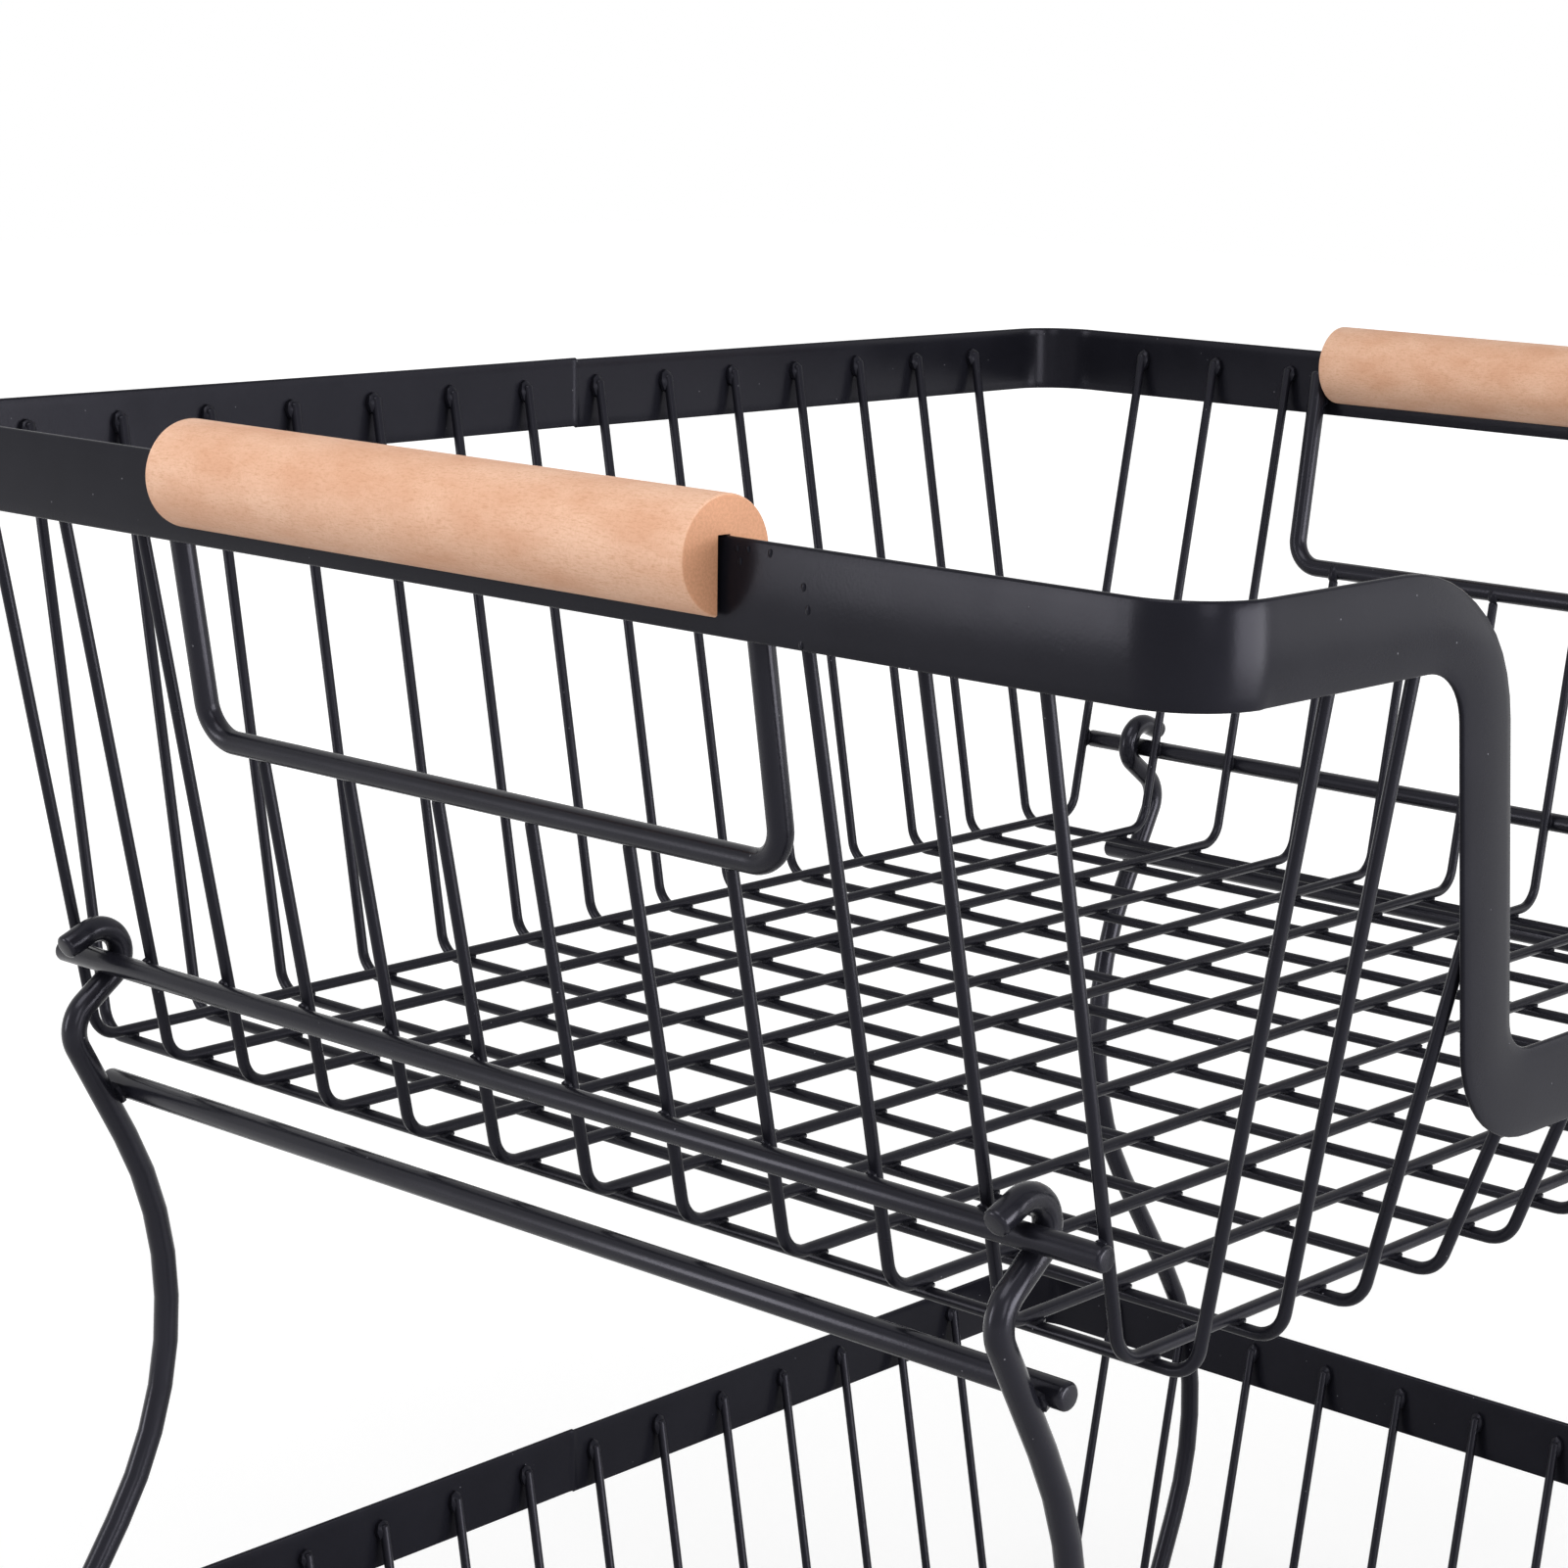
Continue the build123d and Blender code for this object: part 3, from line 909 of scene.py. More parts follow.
@dataclass(frozen=True)
class WireBasket:
    """One basket: its strip, its cross and depth wires, its side rods and their welds.

    A bead's three sizes are its half axes: up the wall or along X, across that, and out from the face.
    """

    strip: RimStrip = RimStrip()
    height: float = 130.0
    side_run: float = 27.0
    end_run: float = 25.0
    floor_gap: float = 8.5
    cross_count: int = 12
    depth_count: int = 14
    wire: float = 2.3
    wire_bend: float = 6.0
    wire_soft_share: float = 0.3
    wire_top_gap: float = 5.0
    weld_gap: float = 0.05
    dip_top_share: float = 0.4
    dip_side_drop: float = 62.0
    rod: float = 4.5
    rod_soft: float = 0.7
    rod_drop: float = 107.0
    rod_overhang: float = 1.7
    rod_shift: float = -1.3
    bar_size: float = 4.5
    bar_soft: float = 0.8
    bar_span: float = 147.0
    bar_drop: float = 54.3
    bar_run: float = 7.8
    bar_bend: float = 7.0
    held_count: int = 6
    butt_gap: float = 0.1
    wire_sides: int = 12
    rod_sides: int = 20
    floor_bead: tuple[float, float, float] = (1.55, 1.55, 0.8)
    rod_bead: tuple[float, float, float] = (2.3, 1.55, 0.85)
    rod_bead_sink: float = 0.1
    tip_bead: tuple[float, float, float] = (2.7, 2.0, 1.5)
    tip_bead_off: float = 0.7
    tip_bead_drop: float = 1.7
    front_bead: tuple[float, float, float] = (3.6, 1.7, 1.55)
    front_bead_drop: float = 2.2
    held_bead: tuple[float, float, float] = (2.3, 1.7, 1.3)
    held_bead_shift: Place = (-1.5, -0.6)
    bar_bead: tuple[float, float, float] = (5.5, 3.1, 1.0)
    bar_bead_shift: Place = (1.6, -4.5)

    @property
    def floor_half(self) -> Place:
        """Half the floor's width and half its depth, to the wires' bends."""
        return self.strip.width / 2 - self.side_run, self.strip.depth / 2 - self.end_run

    @property
    def floor_z(self) -> Place:
        """Heights of the cross wires and of the depth wires along the floor."""
        return self.wire * 1.5 + self.weld_gap, self.wire / 2

    @property
    def tip_z(self) -> float:
        """Height at which the wires stop behind the strip."""
        return self.height - self.wire_top_gap

    @property
    def tip(self) -> Place:
        """X and Y of the wires' tips behind the strip."""
        inside = self.strip.thickness + self.wire / 2 + self.weld_gap
        return self.strip.width / 2 - inside, self.strip.depth / 2 - inside

    @property
    def slope(self) -> float:
        """Outward run of a side wall for each unit of height."""
        return (self.tip[0] - self.floor_half[0]) / (self.tip_z - self.floor_z[0])

    @property
    def end_slope(self) -> float:
        """Outward run of the back wall for each unit of height."""
        return (self.tip[1] - self.floor_half[1]) / (self.tip_z - self.floor_z[1])

    @property
    def up_side(self) -> np.ndarray:
        """Unit direction up the right wall."""
        return np.array([self.slope, 0.0, 1.0]) / math.hypot(1, self.slope)

    @property
    def up_back(self) -> np.ndarray:
        """Unit direction up the back wall."""
        return np.array([0.0, self.end_slope, 1.0]) / math.hypot(1, self.end_slope)

    @property
    def cross_y(self) -> np.ndarray:
        """Y of every cross wire."""
        reach = self.floor_half[1] - self.floor_gap
        return np.linspace(-reach, reach, self.cross_count)

    @property
    def held_y(self) -> np.ndarray:
        """Y of the cross wires that end at a hand bar."""
        first = (self.cross_count - self.held_count) // 2
        return self.cross_y[first : first + self.held_count]

    @property
    def depth_x(self) -> np.ndarray:
        """X of every depth wire."""
        reach = self.floor_half[0] - self.floor_gap
        return np.linspace(-reach, reach, self.depth_count)

    @property
    def rod_place(self) -> Place:
        """Where the right rod's axis is, outside the wall.

        Returns:
            Its X and height.
        """
        z = self.height - self.rod_drop
        apart = (self.rod / 2 + self.wire / 2 + self.weld_gap) * math.hypot(1, self.slope)
        return self.wall_x(z) + apart, z

    @property
    def bar_place(self) -> Place:
        """X and height of the right hand bar's low run."""
        top = self.strip.width / 2 - self.strip.thickness - self.bar_size / 2 - self.weld_gap
        return top - self.bar_run, self.height - self.bar_drop

    @property
    def butted_z(self) -> float:
        """Where a wire under the hand hold meets the hand bar.

        Returns:
            The height of the wire's tip.
        """
        x, z = self.bar_place
        stretch = math.hypot(1, self.slope)
        beside = (x - self.wall_x(z)) * self.slope / stretch
        return z - (self.bar_size / 2 + self.butt_gap - beside) / stretch

    def wall_x(self, z: float) -> float:
        """X of the right wall's wires at a height."""
        return self.floor_half[0] + self.slope * (z - self.floor_z[0])

    def bent_wire(self, corners: list[Place], along: np.ndarray, across: np.ndarray) -> Shell:
        """One round wire with two bends.

        Args:
            corners: its four corner points, as runs along a direction and heights.
            along: that direction.
            across: the direction square to the wire's plane.

        Returns:
            The wire.
        """
        line = in_plane(rounded_path(corners, [self.wire_bend] * 2), along, UP)
        return bar(line, across, self.wire, self.wire_sides, self.wire * self.wire_soft_share)

    def cross_wires(self, rows: np.ndarray, tip_z: float) -> Shell:
        """Round wires across: down one wall, over the floor and up the other.

        Args:
            rows: each wire's Y.
            tip_z: the height of their tips.

        Returns:
            The wires.
        """
        half, low, x = self.floor_half[0], self.floor_z[0], self.wall_x(tip_z)
        one = self.bent_wire([(-x, tip_z), (-half, low), (half, low), (x, tip_z)], ALONG_X, ALONG_Y)
        return Shell.joined([one.moved(y=y) for y in rows])

    def front_tip(self, x: float) -> Place:
        """Where a depth wire's front tip is: behind the strip, the dip's side or the dip's low run.

        Args:
            x: the wire's X.

        Returns:
            The tip's Y and height.
        """
        strip = self.strip
        if abs(x) > strip.dip_top / 2:
            return -self.tip[1], self.tip_z
        low = abs(x) < strip.dip_bottom / 2
        drop = strip.dip_drop + strip.height * self.dip_top_share if low else self.dip_side_drop
        lean = math.radians(strip.lean_deg)
        inner = -strip.depth / 2 + strip.thickness / math.cos(lean)
        inner += (drop - strip.fold_drop) * math.tan(lean)
        return inner + self.wire / 2 + self.weld_gap, self.height - drop

    def depth_wires(self, columns: np.ndarray) -> Shell:
        """Round wires from front to back.

        Args:
            columns: each wire's X.

        Returns:
            The wires.
        """
        half, low = self.floor_half[1], self.floor_z[1]
        rest = [(-half, low), (half, low), (self.tip[1], self.tip_z)]
        wires = [
            self.bent_wire([self.front_tip(x), *rest], ALONG_Y, -ALONG_X).moved(x=x) for x in columns
        ]
        return Shell.joined(wires)

    def side_rod(self) -> Shell:
        """The straight rod along the right side.

        Returns:
            The rod.
        """
        x, z = self.rod_place
        half = self.floor_half[1] - self.floor_gap + self.rod_overhang
        line = np.array([[x, self.rod_shift - half, z], [x, self.rod_shift + half, z]])
        return bar(line, ALONG_X, self.rod, self.rod_sides, self.rod_soft)

    def hand_bar(self) -> Shell:
        """The right hand hold's bar: a flat U that leans in with the wall.

        Returns:
            The bar.
        """
        low_x, low_z = self.bar_place
        high = np.array([low_x + self.bar_run, 0.0, self.tip_z])
        lean = np.array([low_x, 0.0, low_z]) - high
        length = float(np.linalg.norm(lean))
        down = lean / length
        half = self.bar_span / 2
        corners = [(-half, 0.0), (-half, length), (half, length), (half, 0.0)]
        line = in_plane(rounded_path(corners, [self.bar_bend] * 2), ALONG_Y, down, high)
        return bar(line, np.cross(down, ALONG_Y), self.bar_size, self.rod_sides, self.bar_soft)

    def floor_welds(self) -> Shell:
        """Low beads where the floor's wires cross.

        Returns:
            The beads.
        """
        x, y = np.meshgrid(self.depth_x, self.cross_y)
        z = np.full(x.size, self.wire + self.weld_gap / 2)
        places = np.stack([x.ravel(), y.ravel(), z], axis=1)
        return bead_rows(places, ALONG_X, ALONG_Y, self.floor_bead)

    def rod_welds(self) -> Shell:
        """Beads where the side wires touch the right rod.

        Returns:
            The beads.
        """
        x, z = self.rod_place
        up = self.up_side
        out = np.array([up[2], 0.0, -up[0]])
        middle = np.array([x, 0.0, z]) - out * (self.rod / 2 - self.rod_bead_sink)
        return bead_rows(middle + self.cross_y[:, None] * ALONG_Y, up, ALONG_Y, self.rod_bead)

    def tip_welds(self, rows: np.ndarray) -> Shell:
        """Flattened beads where the right wall's wires are pressed on the strip's inner face.

        Args:
            rows: each wire's Y.

        Returns:
            The beads.
        """
        face = self.strip.width / 2 - self.strip.thickness
        middle = np.array([face - self.tip_bead_off, 0.0, self.tip_z - self.tip_bead_drop])
        return bead_rows(middle + rows[:, None] * ALONG_Y, self.up_side, ALONG_Y, self.tip_bead)

    def back_tip_welds(self) -> Shell:
        """Flattened beads where the depth wires are pressed on the back strip's inner face.

        Returns:
            The beads.
        """
        face = self.strip.depth / 2 - self.strip.thickness
        middle = np.array([0.0, face - self.tip_bead_off, self.tip_z - self.tip_bead_drop])
        return bead_rows(middle + self.depth_x[:, None] * ALONG_X, self.up_back, ALONG_X, self.tip_bead)

    def front_tip_welds(self) -> Shell:
        """Flattened beads where the depth wires' front tips meet the strip and the dip.

        Returns:
            The beads.
        """
        tips = np.array([(x, *self.front_tip(x)) for x in self.depth_x])
        tips += np.array([0.0, self.tip_bead_off - self.wire / 2, -self.front_bead_drop])
        up_front = self.up_back * np.array([1.0, -1.0, 1.0])
        return bead_rows(tips, up_front, ALONG_X, self.front_bead)

    def hand_welds(self) -> Shell:
        """Beads of the right hand hold, for the short wires on the bar and for the bar's ends on the strip.

        Returns:
            The beads.
        """
        x, z = self.bar_place
        in_x, in_z = self.held_bead_shift
        end_x, end_z = self.bar_bead_shift
        joints = np.array([x + in_x, 0.0, z + in_z]) + self.held_y[:, None] * ALONG_Y
        end = np.array([x + self.bar_run + end_x, 0.0, self.tip_z + end_z])
        ends = end + np.array([[-1.0], [1.0]]) * self.bar_span / 2 * ALONG_Y
        return Shell.joined(
            [
                bead_rows(joints, self.up_side, ALONG_Y, self.held_bead),
                bead_rows(ends, self.up_side, ALONG_Y, self.bar_bead),
            ]
        )

    def build(self, shop: Workshop, tier: Tier) -> None:
        """Make one basket's pieces, with the hand bars and the coat's lumps on the upper one.

        Args:
            shop: what writes the pieces.
            tier: which basket this is.
        """
        body, lift, upper = tier.body, tier.value, tier is Tier.UPPER
        wide = np.abs(self.depth_x) < self.strip.dip_bottom / 2
        full = np.setdiff1d(self.cross_y, self.held_y) if upper else self.cross_y
        pieces = {
            "rim": (self.strip.shell(self.height), Slot.RIM),
            "cross_wires": (self.cross_wires(full, self.tip_z), Slot.WIRE),
            "depth_wires": (self.depth_wires(self.depth_x[~wide]), Slot.WIRE),
            "dip_wires": (self.depth_wires(self.depth_x[wide]), Slot.WIRE),
            "right_rod": (self.side_rod(), Slot.ROD),
            "left_rod": (self.side_rod().on_side(Side.LEFT), Slot.ROD),
        }
        if upper:
            pieces["short_cross_wires"] = (self.cross_wires(self.held_y, self.butted_z), Slot.WIRE)
        for word, (shell, slot) in pieces.items():
            node = tier.word + "_" + word
            shop.put("round_" + node, shell.moved(z=lift), slot, body, node)
        sides = Shell.joined([self.rod_welds(), self.tip_welds(full)])
        welds = [
            sides,
            sides.on_side(Side.LEFT),
            self.floor_welds(),
            self.back_tip_welds(),
            self.front_tip_welds(),
        ]
        if upper:
            shop.put("upper_rim_coat_lumps", self.strip.lumps(self.height + lift), Slot.RIM, body)
            welds += [self.hand_welds(), self.hand_welds().on_side(Side.LEFT)]
            for side in Side:
                node = side.word + "_hand_bar"
                shop.put("round_" + node, self.hand_bar().on_side(side).moved(z=lift), Slot.ROD, body, node)
        shop.put(tier.word + "_welds", Shell.joined(welds).moved(z=lift), Slot.WIRE, body)


@dataclass(frozen=True)
class Grip:
    """A turned beech dowel with a slot sawn up from below, pushed over the upper basket's strip."""

    basket: WireBasket = WireBasket()
    diameter: float = 19.6
    length: float = 135.0
    axis_drop: float = 3.2
    slot_width: float = 2.7
    slot_top_gap: float = 0.3
    slot_foot_share: float = 0.5
    slot_soft_share: float = 0.2
    edge: float = 0.6
    shifts: tuple[float, float] = (-3.0, 2.0)
    round_points: int = 72
    inner_rings: int = 9

    @property
    def axis(self) -> Place:
        """X and height of the right grip's axis, over the middle of the strip."""
        strip, top = self.basket.strip, self.basket.height + Tier.UPPER.value
        return (strip.width - strip.thickness) / 2, top - self.axis_drop

    def section(self, inset: float) -> np.ndarray:
        """The dowel's outline round its axis: most of a circle, then up, over and down the slot.

        The circle's points are q (cos a, sin a) from one slot wall's foot to the other's, where q is the
        radius less the inset.

        Args:
            inset: how far the outline is drawn in.

        Returns:
            The outline's points.
        """
        q = self.diameter / 2 - inset
        near = -self.basket.strip.thickness / 2 - self.basket.weld_gap
        far = near + self.slot_width
        top = self.axis_drop + self.slot_top_gap - inset * self.slot_soft_share
        foot = -q * self.slot_foot_share
        a = np.linspace(-math.acos(far / q), math.pi + math.acos(-near / q), self.round_points)
        circle = q * np.stack([np.cos(a), np.sin(a)], axis=1)
        return np.concatenate([circle, [[near, foot], [near, top], [far, top], [far, foot]]])

    def shell(self) -> Shell:
        """The right grip, centred on Y: its outline carried along Y, with its end edges rounded.

        Returns:
            The grip, open at its ends.
        """
        half, r = self.length / 2, self.edge
        setback, inset = r * (1 - np.sin(SOFT_TURNS)), r * (1 - np.cos(SOFT_TURNS))
        insets = np.concatenate([inset, np.zeros(self.inner_rings), inset[::-1]])
        inner = np.linspace(-(half - r), half - r, self.inner_rings + 2)[1:-1]
        places = np.concatenate([-half + setback, inner, half - setback[::-1]])
        rings = np.stack([self.section(d) for d in insets])
        count, sides = rings.shape[:2]
        y = np.broadcast_to(places[:, None], (count, sides))
        points = np.stack([self.axis[0] + rings[..., 0], y, self.axis[1] + rings[..., 1]], axis=-1)
        return Shell(points.reshape(-1, 3), ring_faces(count, sides)[:, ::-1])

    def build(self, shop: Workshop) -> None:
        """Make both grips, with a flat end face over each end's outline.

        Args:
            shop: what writes the pieces.
        """
        for side, shift in zip(Side, self.shifts):
            shell = self.shell().on_side(side).moved(y=shift)
            node = side.word + "_grip"
            piece = shop.put("turned_" + node, shell, Slot.WOOD, Tier.UPPER.body, node)
            self.close_ends(piece.data)

    def close_ends(self, mesh: bpy.types.Mesh) -> None:
        """Fill the first and last outline of a grip's mesh with one face each, all faces pointing out.

        Args:
            mesh: the grip's mesh.
        """
        work = bmesh.new()
        work.from_mesh(mesh)
        loose = [edge for edge in work.edges if edge.is_boundary]
        bmesh.ops.contextual_create(work, geom=loose)
        bmesh.ops.recalc_face_normals(work, faces=work.faces)
        work.to_mesh(mesh)
        work.free()
        smooth(mesh)


@dataclass(frozen=True)
class LegFrame:
    """One side's pair of S-shaped legs and the two crossbars that join them.

    Each corner of a leg is a run out from the upper rod and a drop below it.
    """

    basket: WireBasket = WireBasket()
    inset: float = 13.9
    shifts: tuple[float, float] = (1.5, -4.7)
    leg: float = 5.0
    soft: float = 0.8
    seat_gap: float = 0.3
    eye_inner: float = 3.0
    eye_rise: float = 0.7
    eye_tip_deg: float = 67.0
    eye_tip_run: float = 5.8
    shoulder: Place = (7.7, 12.0)
    shoulder_radius: float = 7.0
    waist: Place = (-27.9, 79.0)
    sweep_radius: float = 80.0
    bulge: Place = (41.4, 185.0)
    foot_out: float = 10.6
    foot_radius: float = 6.0
    hook_tip_deg: float = 22.0
    crossbar: float = 5.0
    crossbar_overhang: float = 5.2
    upper_drop: float = 27.0
    lower_drop: float = 240.0
    bead: tuple[float, float, float] = (2.7, 3.1, 1.3)
    sides: int = 20

    @property
    def span(self) -> float:
        """Distance between the two legs."""
        basket = self.basket
        return 2 * (basket.floor_half[1] - basket.floor_gap + basket.rod_overhang - self.inset)

    @property
    def seat(self) -> Place:
        """X and height of the upper right rod, which the eye hangs on."""
        x, z = self.basket.rod_place
        return x, z + Tier.UPPER.value

    @property
    def hook(self) -> float:
        """Radius of the hook's centre line round the lower rod."""
        return self.basket.rod / 2 + self.seat_gap + self.leg / 2

    @property
    def corners(self) -> list[Place]:
        """Corners of the leg below its eye."""
        return [self.shoulder, self.waist, self.bulge, (self.foot_out, Tier.UPPER.value - self.hook)]

    @property
    def crossbars(self) -> dict[str, tuple[int, float]]:
        """Each crossbar's drop below the rod, after the number of the leg's corner above it."""
        return {"upper_crossbar": (0, self.upper_drop), "lower_crossbar": (2, self.lower_drop)}

    def line(self) -> np.ndarray:
        """The leg's centre line: straight end, eye, tangent run, two sweeps, foot and hook.

        Returns:
            The points, as pairs of X and Z.
        """
        x, z = self.seat
        radius = self.eye_inner + self.leg / 2
        centre = np.array([x, z + self.eye_rise])
        corners = [(x + out, z - drop) for out, drop in self.corners]
        reach = np.array(corners[0]) - centre
        around = math.atan2(reach[1], reach[0]) - math.acos(radius / np.linalg.norm(reach))
        touch = centre + radius * np.array([math.cos(around), math.sin(around)])
        eye = arc(tuple(centre), radius, self.eye_tip_deg, math.degrees(around) + 360)
        tip = math.radians(self.eye_tip_deg)
        end = eye[0] + self.eye_tip_run * np.array([math.sin(tip), -math.cos(tip)])
        low = z - Tier.UPPER.value
        radii = [self.shoulder_radius, self.sweep_radius, self.sweep_radius, self.foot_radius]
        run = rounded_path([tuple(touch), *corners, (x, low + self.hook)], radii)
        over = arc((x, low), self.hook, 90, 180 - self.hook_tip_deg)
        return np.concatenate([end[None], eye, run[1:-1], over])

    def right_leg(self) -> Shell:
        """One right leg, in the plane Y = 0."""
        return bar(in_plane(self.line(), ALONG_X, UP), ALONG_Y, self.leg, self.sides, self.soft)

    def beside(self, corner: int, drop: float) -> Place:
        """Where a crossbar lies, on the inner side of a leg's straight run.

        Args:
            corner: the number of the corner above the run.
            drop: the crossbar's drop below the rod.

        Returns:
            The crossbar's X and height.
        """
        (out_a, drop_a), (out_b, drop_b) = self.corners[corner : corner + 2]
        run, fall = out_b - out_a, drop_b - drop_a
        apart = (self.leg + self.crossbar) / 2 + self.basket.weld_gap
        x, z = self.seat
        return x + out_a + run * (drop - drop_a) / fall - apart * math.hypot(run, fall) / fall, z - drop

    def crossbar_at(self, x: float, z: float) -> Shell:
        """A straight crossbar.

        Args:
            x: its X.
            z: its height.

        Returns:
            The crossbar.
        """
        half = self.span / 2 + self.crossbar_overhang
        line = np.array([[x, -half, z], [x, half, z]])
        return bar(line, ALONG_X, self.crossbar, self.sides, self.soft)

    def welds(self, corner: int, drop: float) -> Shell:
        """Beads where a crossbar touches both legs.

        Args:
            corner: the number of the leg's corner above it.
            drop: the crossbar's drop below the rod.

        Returns:
            The beads.
        """
        (out_a, drop_a), (out_b, drop_b) = self.corners[corner : corner + 2]
        up = np.array([out_a - out_b, 0.0, drop_b - drop_a]) / math.hypot(out_a - out_b, drop_b - drop_a)
        x, z = self.beside(corner, drop)
        out = np.array([up[2], 0.0, -up[0]])
        middle = np.array([x, 0.0, z]) + out * self.crossbar / 2
        places = middle + np.array([[-1.0], [1.0]]) * self.span / 2 * ALONG_Y
        return bead_rows(places, up, ALONG_Y, self.bead)

    def build(self, shop: Workshop, side: Side) -> None:
        """Make one side's frame.

        Args:
            shop: what writes the pieces.
            side: which side it stands on.
        """
        body = side.word + "_frame"
        leg, half = self.right_leg(), self.span / 2
        shells = {"front_leg": leg.moved(y=-half), "back_leg": leg.moved(y=half)}
        shells |= {word: self.crossbar_at(*self.beside(*spot)) for word, spot in self.crossbars.items()}
        shift = self.shifts[list(Side).index(side)]
        for word, shell in shells.items():
            node = side.word + "_" + word
            shop.put("round_" + node, shell.on_side(side).moved(y=shift), Slot.LEG, body, node)
        welds = Shell.joined([self.welds(*spot) for spot in self.crossbars.values()])
        shop.put(body + "_welds", welds.on_side(side).moved(y=shift), Slot.LEG, body)


@dataclass(frozen=True)
class Softbox:
    """One rectangular soft lamp: its place, the point it faces, its width and height, and its power."""

    name: str
    place_m: tuple[float, float, float]
    aim_m: tuple[float, float, float]
    size_m: tuple[float, float]
    watts: float

    def hang(self) -> None:
        """Put the lamp into the scene."""
        data = bpy.data.lights.new(self.name, "AREA")
        data.shape = "RECTANGLE"
        data.size, data.size_y = self.size_m
        data.energy = self.watts
        lamp = bpy.data.objects.new(self.name, data)
        facing = (Vector(self.aim_m) - Vector(self.place_m)).to_track_quat("-Z", "Y")
        lamp.matrix_world = Matrix.Translation(Vector(self.place_m)) @ facing.to_matrix().to_4x4()
        bpy.context.scene.collection.objects.link(lamp)


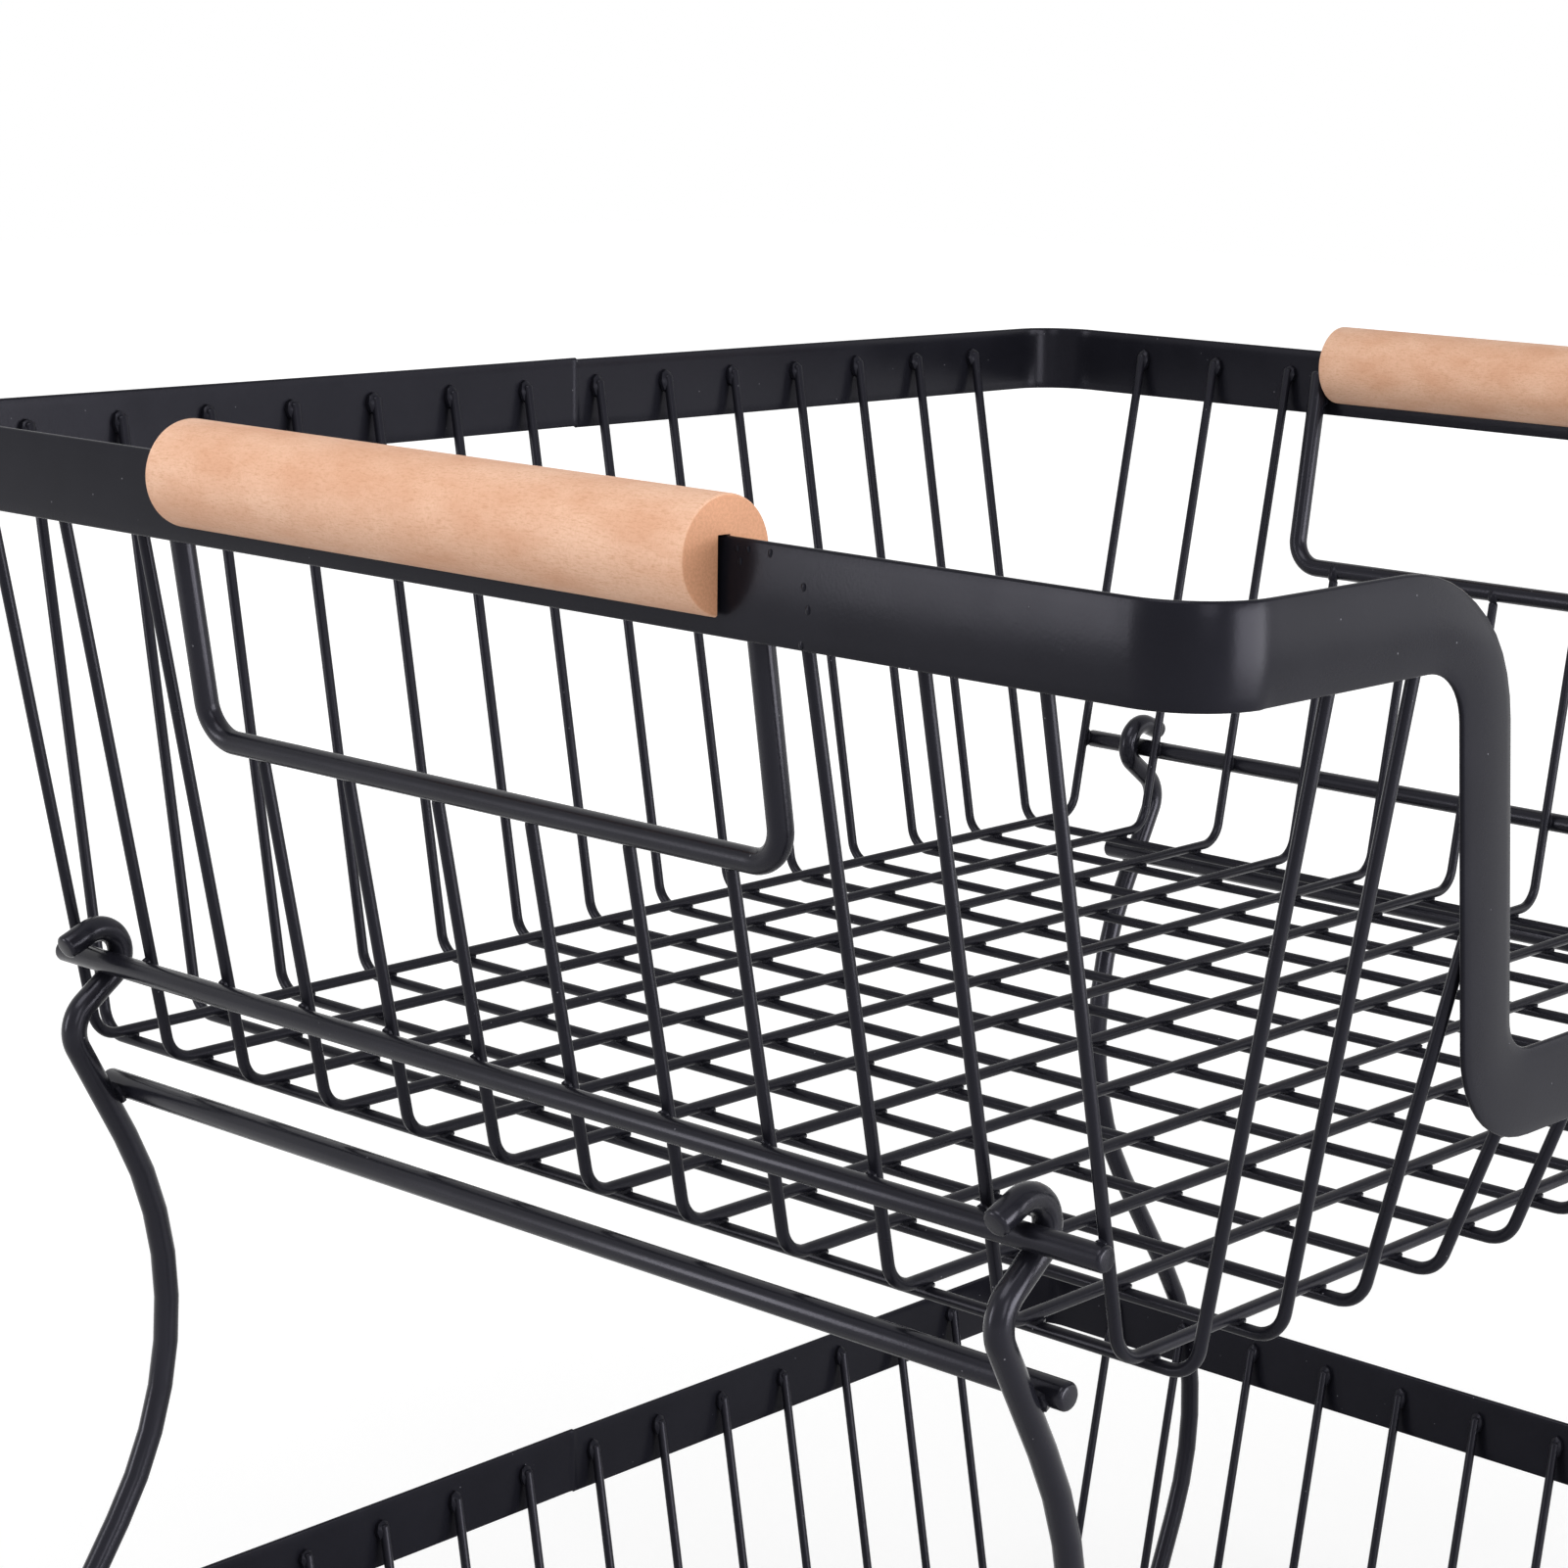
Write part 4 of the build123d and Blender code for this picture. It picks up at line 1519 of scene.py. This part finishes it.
@dataclass(frozen=True)
class Studio:
    """The white sweep, the soft lamps and the camera."""

    eye_mm: tuple[float, float, float] = (-579.637, -465.775, 473.793)
    heading_deg: float = 50.592
    down_deg: float = 10.3
    roll_deg: float = 1.536
    picture_px: float = 1601.0
    focal_px: float = 3699.41
    centre_px: Place = (1082.157, 709.164)
    sensor_mm: float = 36.0
    near_clip_m: float = 0.01
    floor_half_m: float = 6.0
    world_light: float = 0.31
    white: str = "#FFFFFF"
    paper: str = "#C6C6C6"
    glow_from_m: float = 0.25
    glow_to_m: float = 1.6
    glow_near: float = 0.5
    lamps: tuple[Softbox, ...] = (
        Softbox("left_key", (-1.34, 0.77, 0.49), (-0.18, -0.1, 0.42), (0.3, 0.62), 6.0),
        Softbox("left_wide", (-1.9, 1.1, 0.85), (0.0, 0.0, 0.5), (1.3, 1.2), 4.0),
        Softbox("front_key", (0.26, -1.45, 0.34), (-0.17, -0.16, 0.39), (1.0, 0.6), 24.0),
        Softbox("front_wide", (1.5, -1.5, 0.44), (0.0, 0.0, 0.4), (1.6, 0.8), 5.5),
        Softbox("near_fill", (-0.98, -1.46, 0.85), (-0.1, -0.1, 0.4), (0.5, 0.8), 5.5),
        Softbox("top_softbox", (-0.75, -0.1, 1.5), (0.0, 0.0, 0.35), (0.8, 0.8), 10.0),
    )

    def seen(self, tree: bpy.types.NodeTree) -> bpy.types.NodeSocket:
        """Tell what is seen from what lights the object.

        Args:
            tree: the node tree.

        Returns:
            A socket that is one for a ray from the camera, off a gloss or through glass, and zero for
            the light on the object.
        """
        path = add_node(tree, "LightPath").outputs
        seen = path["Is Camera Ray"]
        for name in ("Is Glossy Ray", "Is Transmission Ray"):
            seen = add_node(tree, "Math", {"operation": "MAXIMUM", 0: seen, 1: path[name]}).outputs[0]
        return seen

    def camera(self) -> None:
        """Stand the camera at the photograph's viewpoint.

        The view direction is (sin a cos e, cos a cos e, -sin e) for heading a and downward angle e, and
        the picture is then rolled about it. The shift is the picture's centre less the lens axis, over
        the picture's width.
        """
        a, e, roll = (math.radians(v) for v in (self.heading_deg, self.down_deg, self.roll_deg))
        ahead = Vector((math.sin(a) * math.cos(e), math.cos(a) * math.cos(e), -math.sin(e)))
        level_right = ahead.cross(Vector(UP)).normalized()
        level_up = level_right.cross(ahead)
        right = level_right * math.cos(roll) + level_up * math.sin(roll)
        up = level_up * math.cos(roll) - level_right * math.sin(roll)
        data = bpy.data.cameras.new("photo_camera")
        data.sensor_fit = "HORIZONTAL"
        data.sensor_width = self.sensor_mm
        data.lens = self.focal_px / self.picture_px * self.sensor_mm
        data.shift_x = (self.picture_px / 2 - self.centre_px[0]) / self.picture_px
        data.shift_y = (self.centre_px[1] - self.picture_px / 2) / self.picture_px
        data.clip_start = self.near_clip_m
        camera = bpy.data.objects.new("photo_camera", data)
        turn = Matrix((right, up, -ahead)).transposed().to_4x4()
        camera.matrix_world = Matrix.Translation(Vector(self.eye_mm) * MM) @ turn
        bpy.context.scene.collection.objects.link(camera)
        bpy.context.scene.camera = camera

    def world(self) -> None:
        """Light evenly from all round, and show plain white to the camera and in reflections."""
        world = bpy.data.worlds.new("white_studio")
        world.use_nodes = True
        tree = world.node_tree
        tree.nodes.clear()
        level = add_node(tree, "MapRange", {"To Min": self.world_light, "Value": self.seen(tree)})
        back = {"Color": linear_colour(self.white), "Strength": level.outputs["Result"]}
        shown = add_node(tree, "Background", back).outputs["Background"]
        add_node(tree, "OutputWorld", {"Surface": shown})
        bpy.context.scene.world = world

    def floor(self) -> None:
        """Lay a pale floor that reads as white and keeps a soft shadow near the object.

        The paper is light grey. What it lacks of white is a glow that only the camera and reflections see,
        and that rises with the distance from the middle, where the lamps' light fades.
        """
        half = self.floor_half_m
        mesh = bpy.data.meshes.new("studio_floor")
        corners = [(-half, -half, 0.0), (half, -half, 0.0), (half, half, 0.0), (-half, half, 0.0)]
        mesh.from_pydata(corners, [], [(0, 1, 2, 3)])
        floor = bpy.data.objects.new("studio_floor", mesh)
        bpy.context.scene.collection.objects.link(floor)
        material, tree = new_material("white_paper_sweep")
        place = add_node(tree, "TexCoord").outputs["Object"]
        away = add_node(tree, "VectorMath", {"operation": "LENGTH", 0: place}).outputs["Value"]
        rise = {"From Min": self.glow_from_m, "From Max": self.glow_to_m, "To Min": self.glow_near}
        level = add_node(tree, "MapRange", rise | {"Value": away}).outputs["Result"]
        shown = add_node(tree, "Math", {"operation": "MULTIPLY", 0: level, 1: self.seen(tree)}).outputs[0]
        paper = add_node(tree, "BsdfDiffuse", {"Color": linear_colour(self.paper)}).outputs[0]
        light = {"Color": linear_colour(self.white), "Strength": shown}
        glow = add_node(tree, "Emission", light).outputs[0]
        both = add_node(tree, "AddShader", {0: paper, 1: glow}).outputs[0]
        add_node(tree, "OutputMaterial", {"Surface": both})
        mesh.materials.append(material)

    def build(self) -> None:
        """Set the camera, the world, the floor and the lamps."""
        self.camera()
        self.world()
        self.floor()
        for lamp in self.lamps:
            lamp.hang()
        bpy.context.scene.view_settings.view_transform = "Standard"


def make_finishes() -> dict[Slot, bpy.types.Material]:
    """Make each slot's material: one coat, which mirrors a little more on wire, rod and leg, and the wood.

    Returns:
        The material of each slot.
    """
    return {
        Slot.RIM: PowderCoat("satin_powder_coat_strip").make(),
        Slot.WIRE: PowderCoat("satin_powder_coat_wire", ior=1.22, roughness=0.29).make(),
        Slot.ROD: PowderCoat("satin_powder_coat_rod", ior=1.27, roughness=0.24).make(),
        Slot.LEG: PowderCoat("satin_powder_coat_leg", ior=1.29, roughness=0.22).make(),
        Slot.WOOD: Beech().make(),
    }


def main() -> None:
    """Load the frame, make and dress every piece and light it."""
    logging.basicConfig(level=logging.INFO, format="%(message)s")
    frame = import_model()
    finishes = make_finishes()
    slots = {row["node"]: row["material_slot"] for row in frame["record"]["subparts"]}
    for name, node in frame["nodes"].items():
        node.data.materials.clear()
        node.data.materials.append(finishes[Slot(slots[name])])
    shop = Workshop(finishes)
    basket = WireBasket()
    for tier in Tier:
        basket.build(shop, tier)
    Grip().build(shop)
    legs = LegFrame()
    for side in Side:
        legs.build(shop, side)
    Studio().build()


if __name__ == "__main__":
    main()
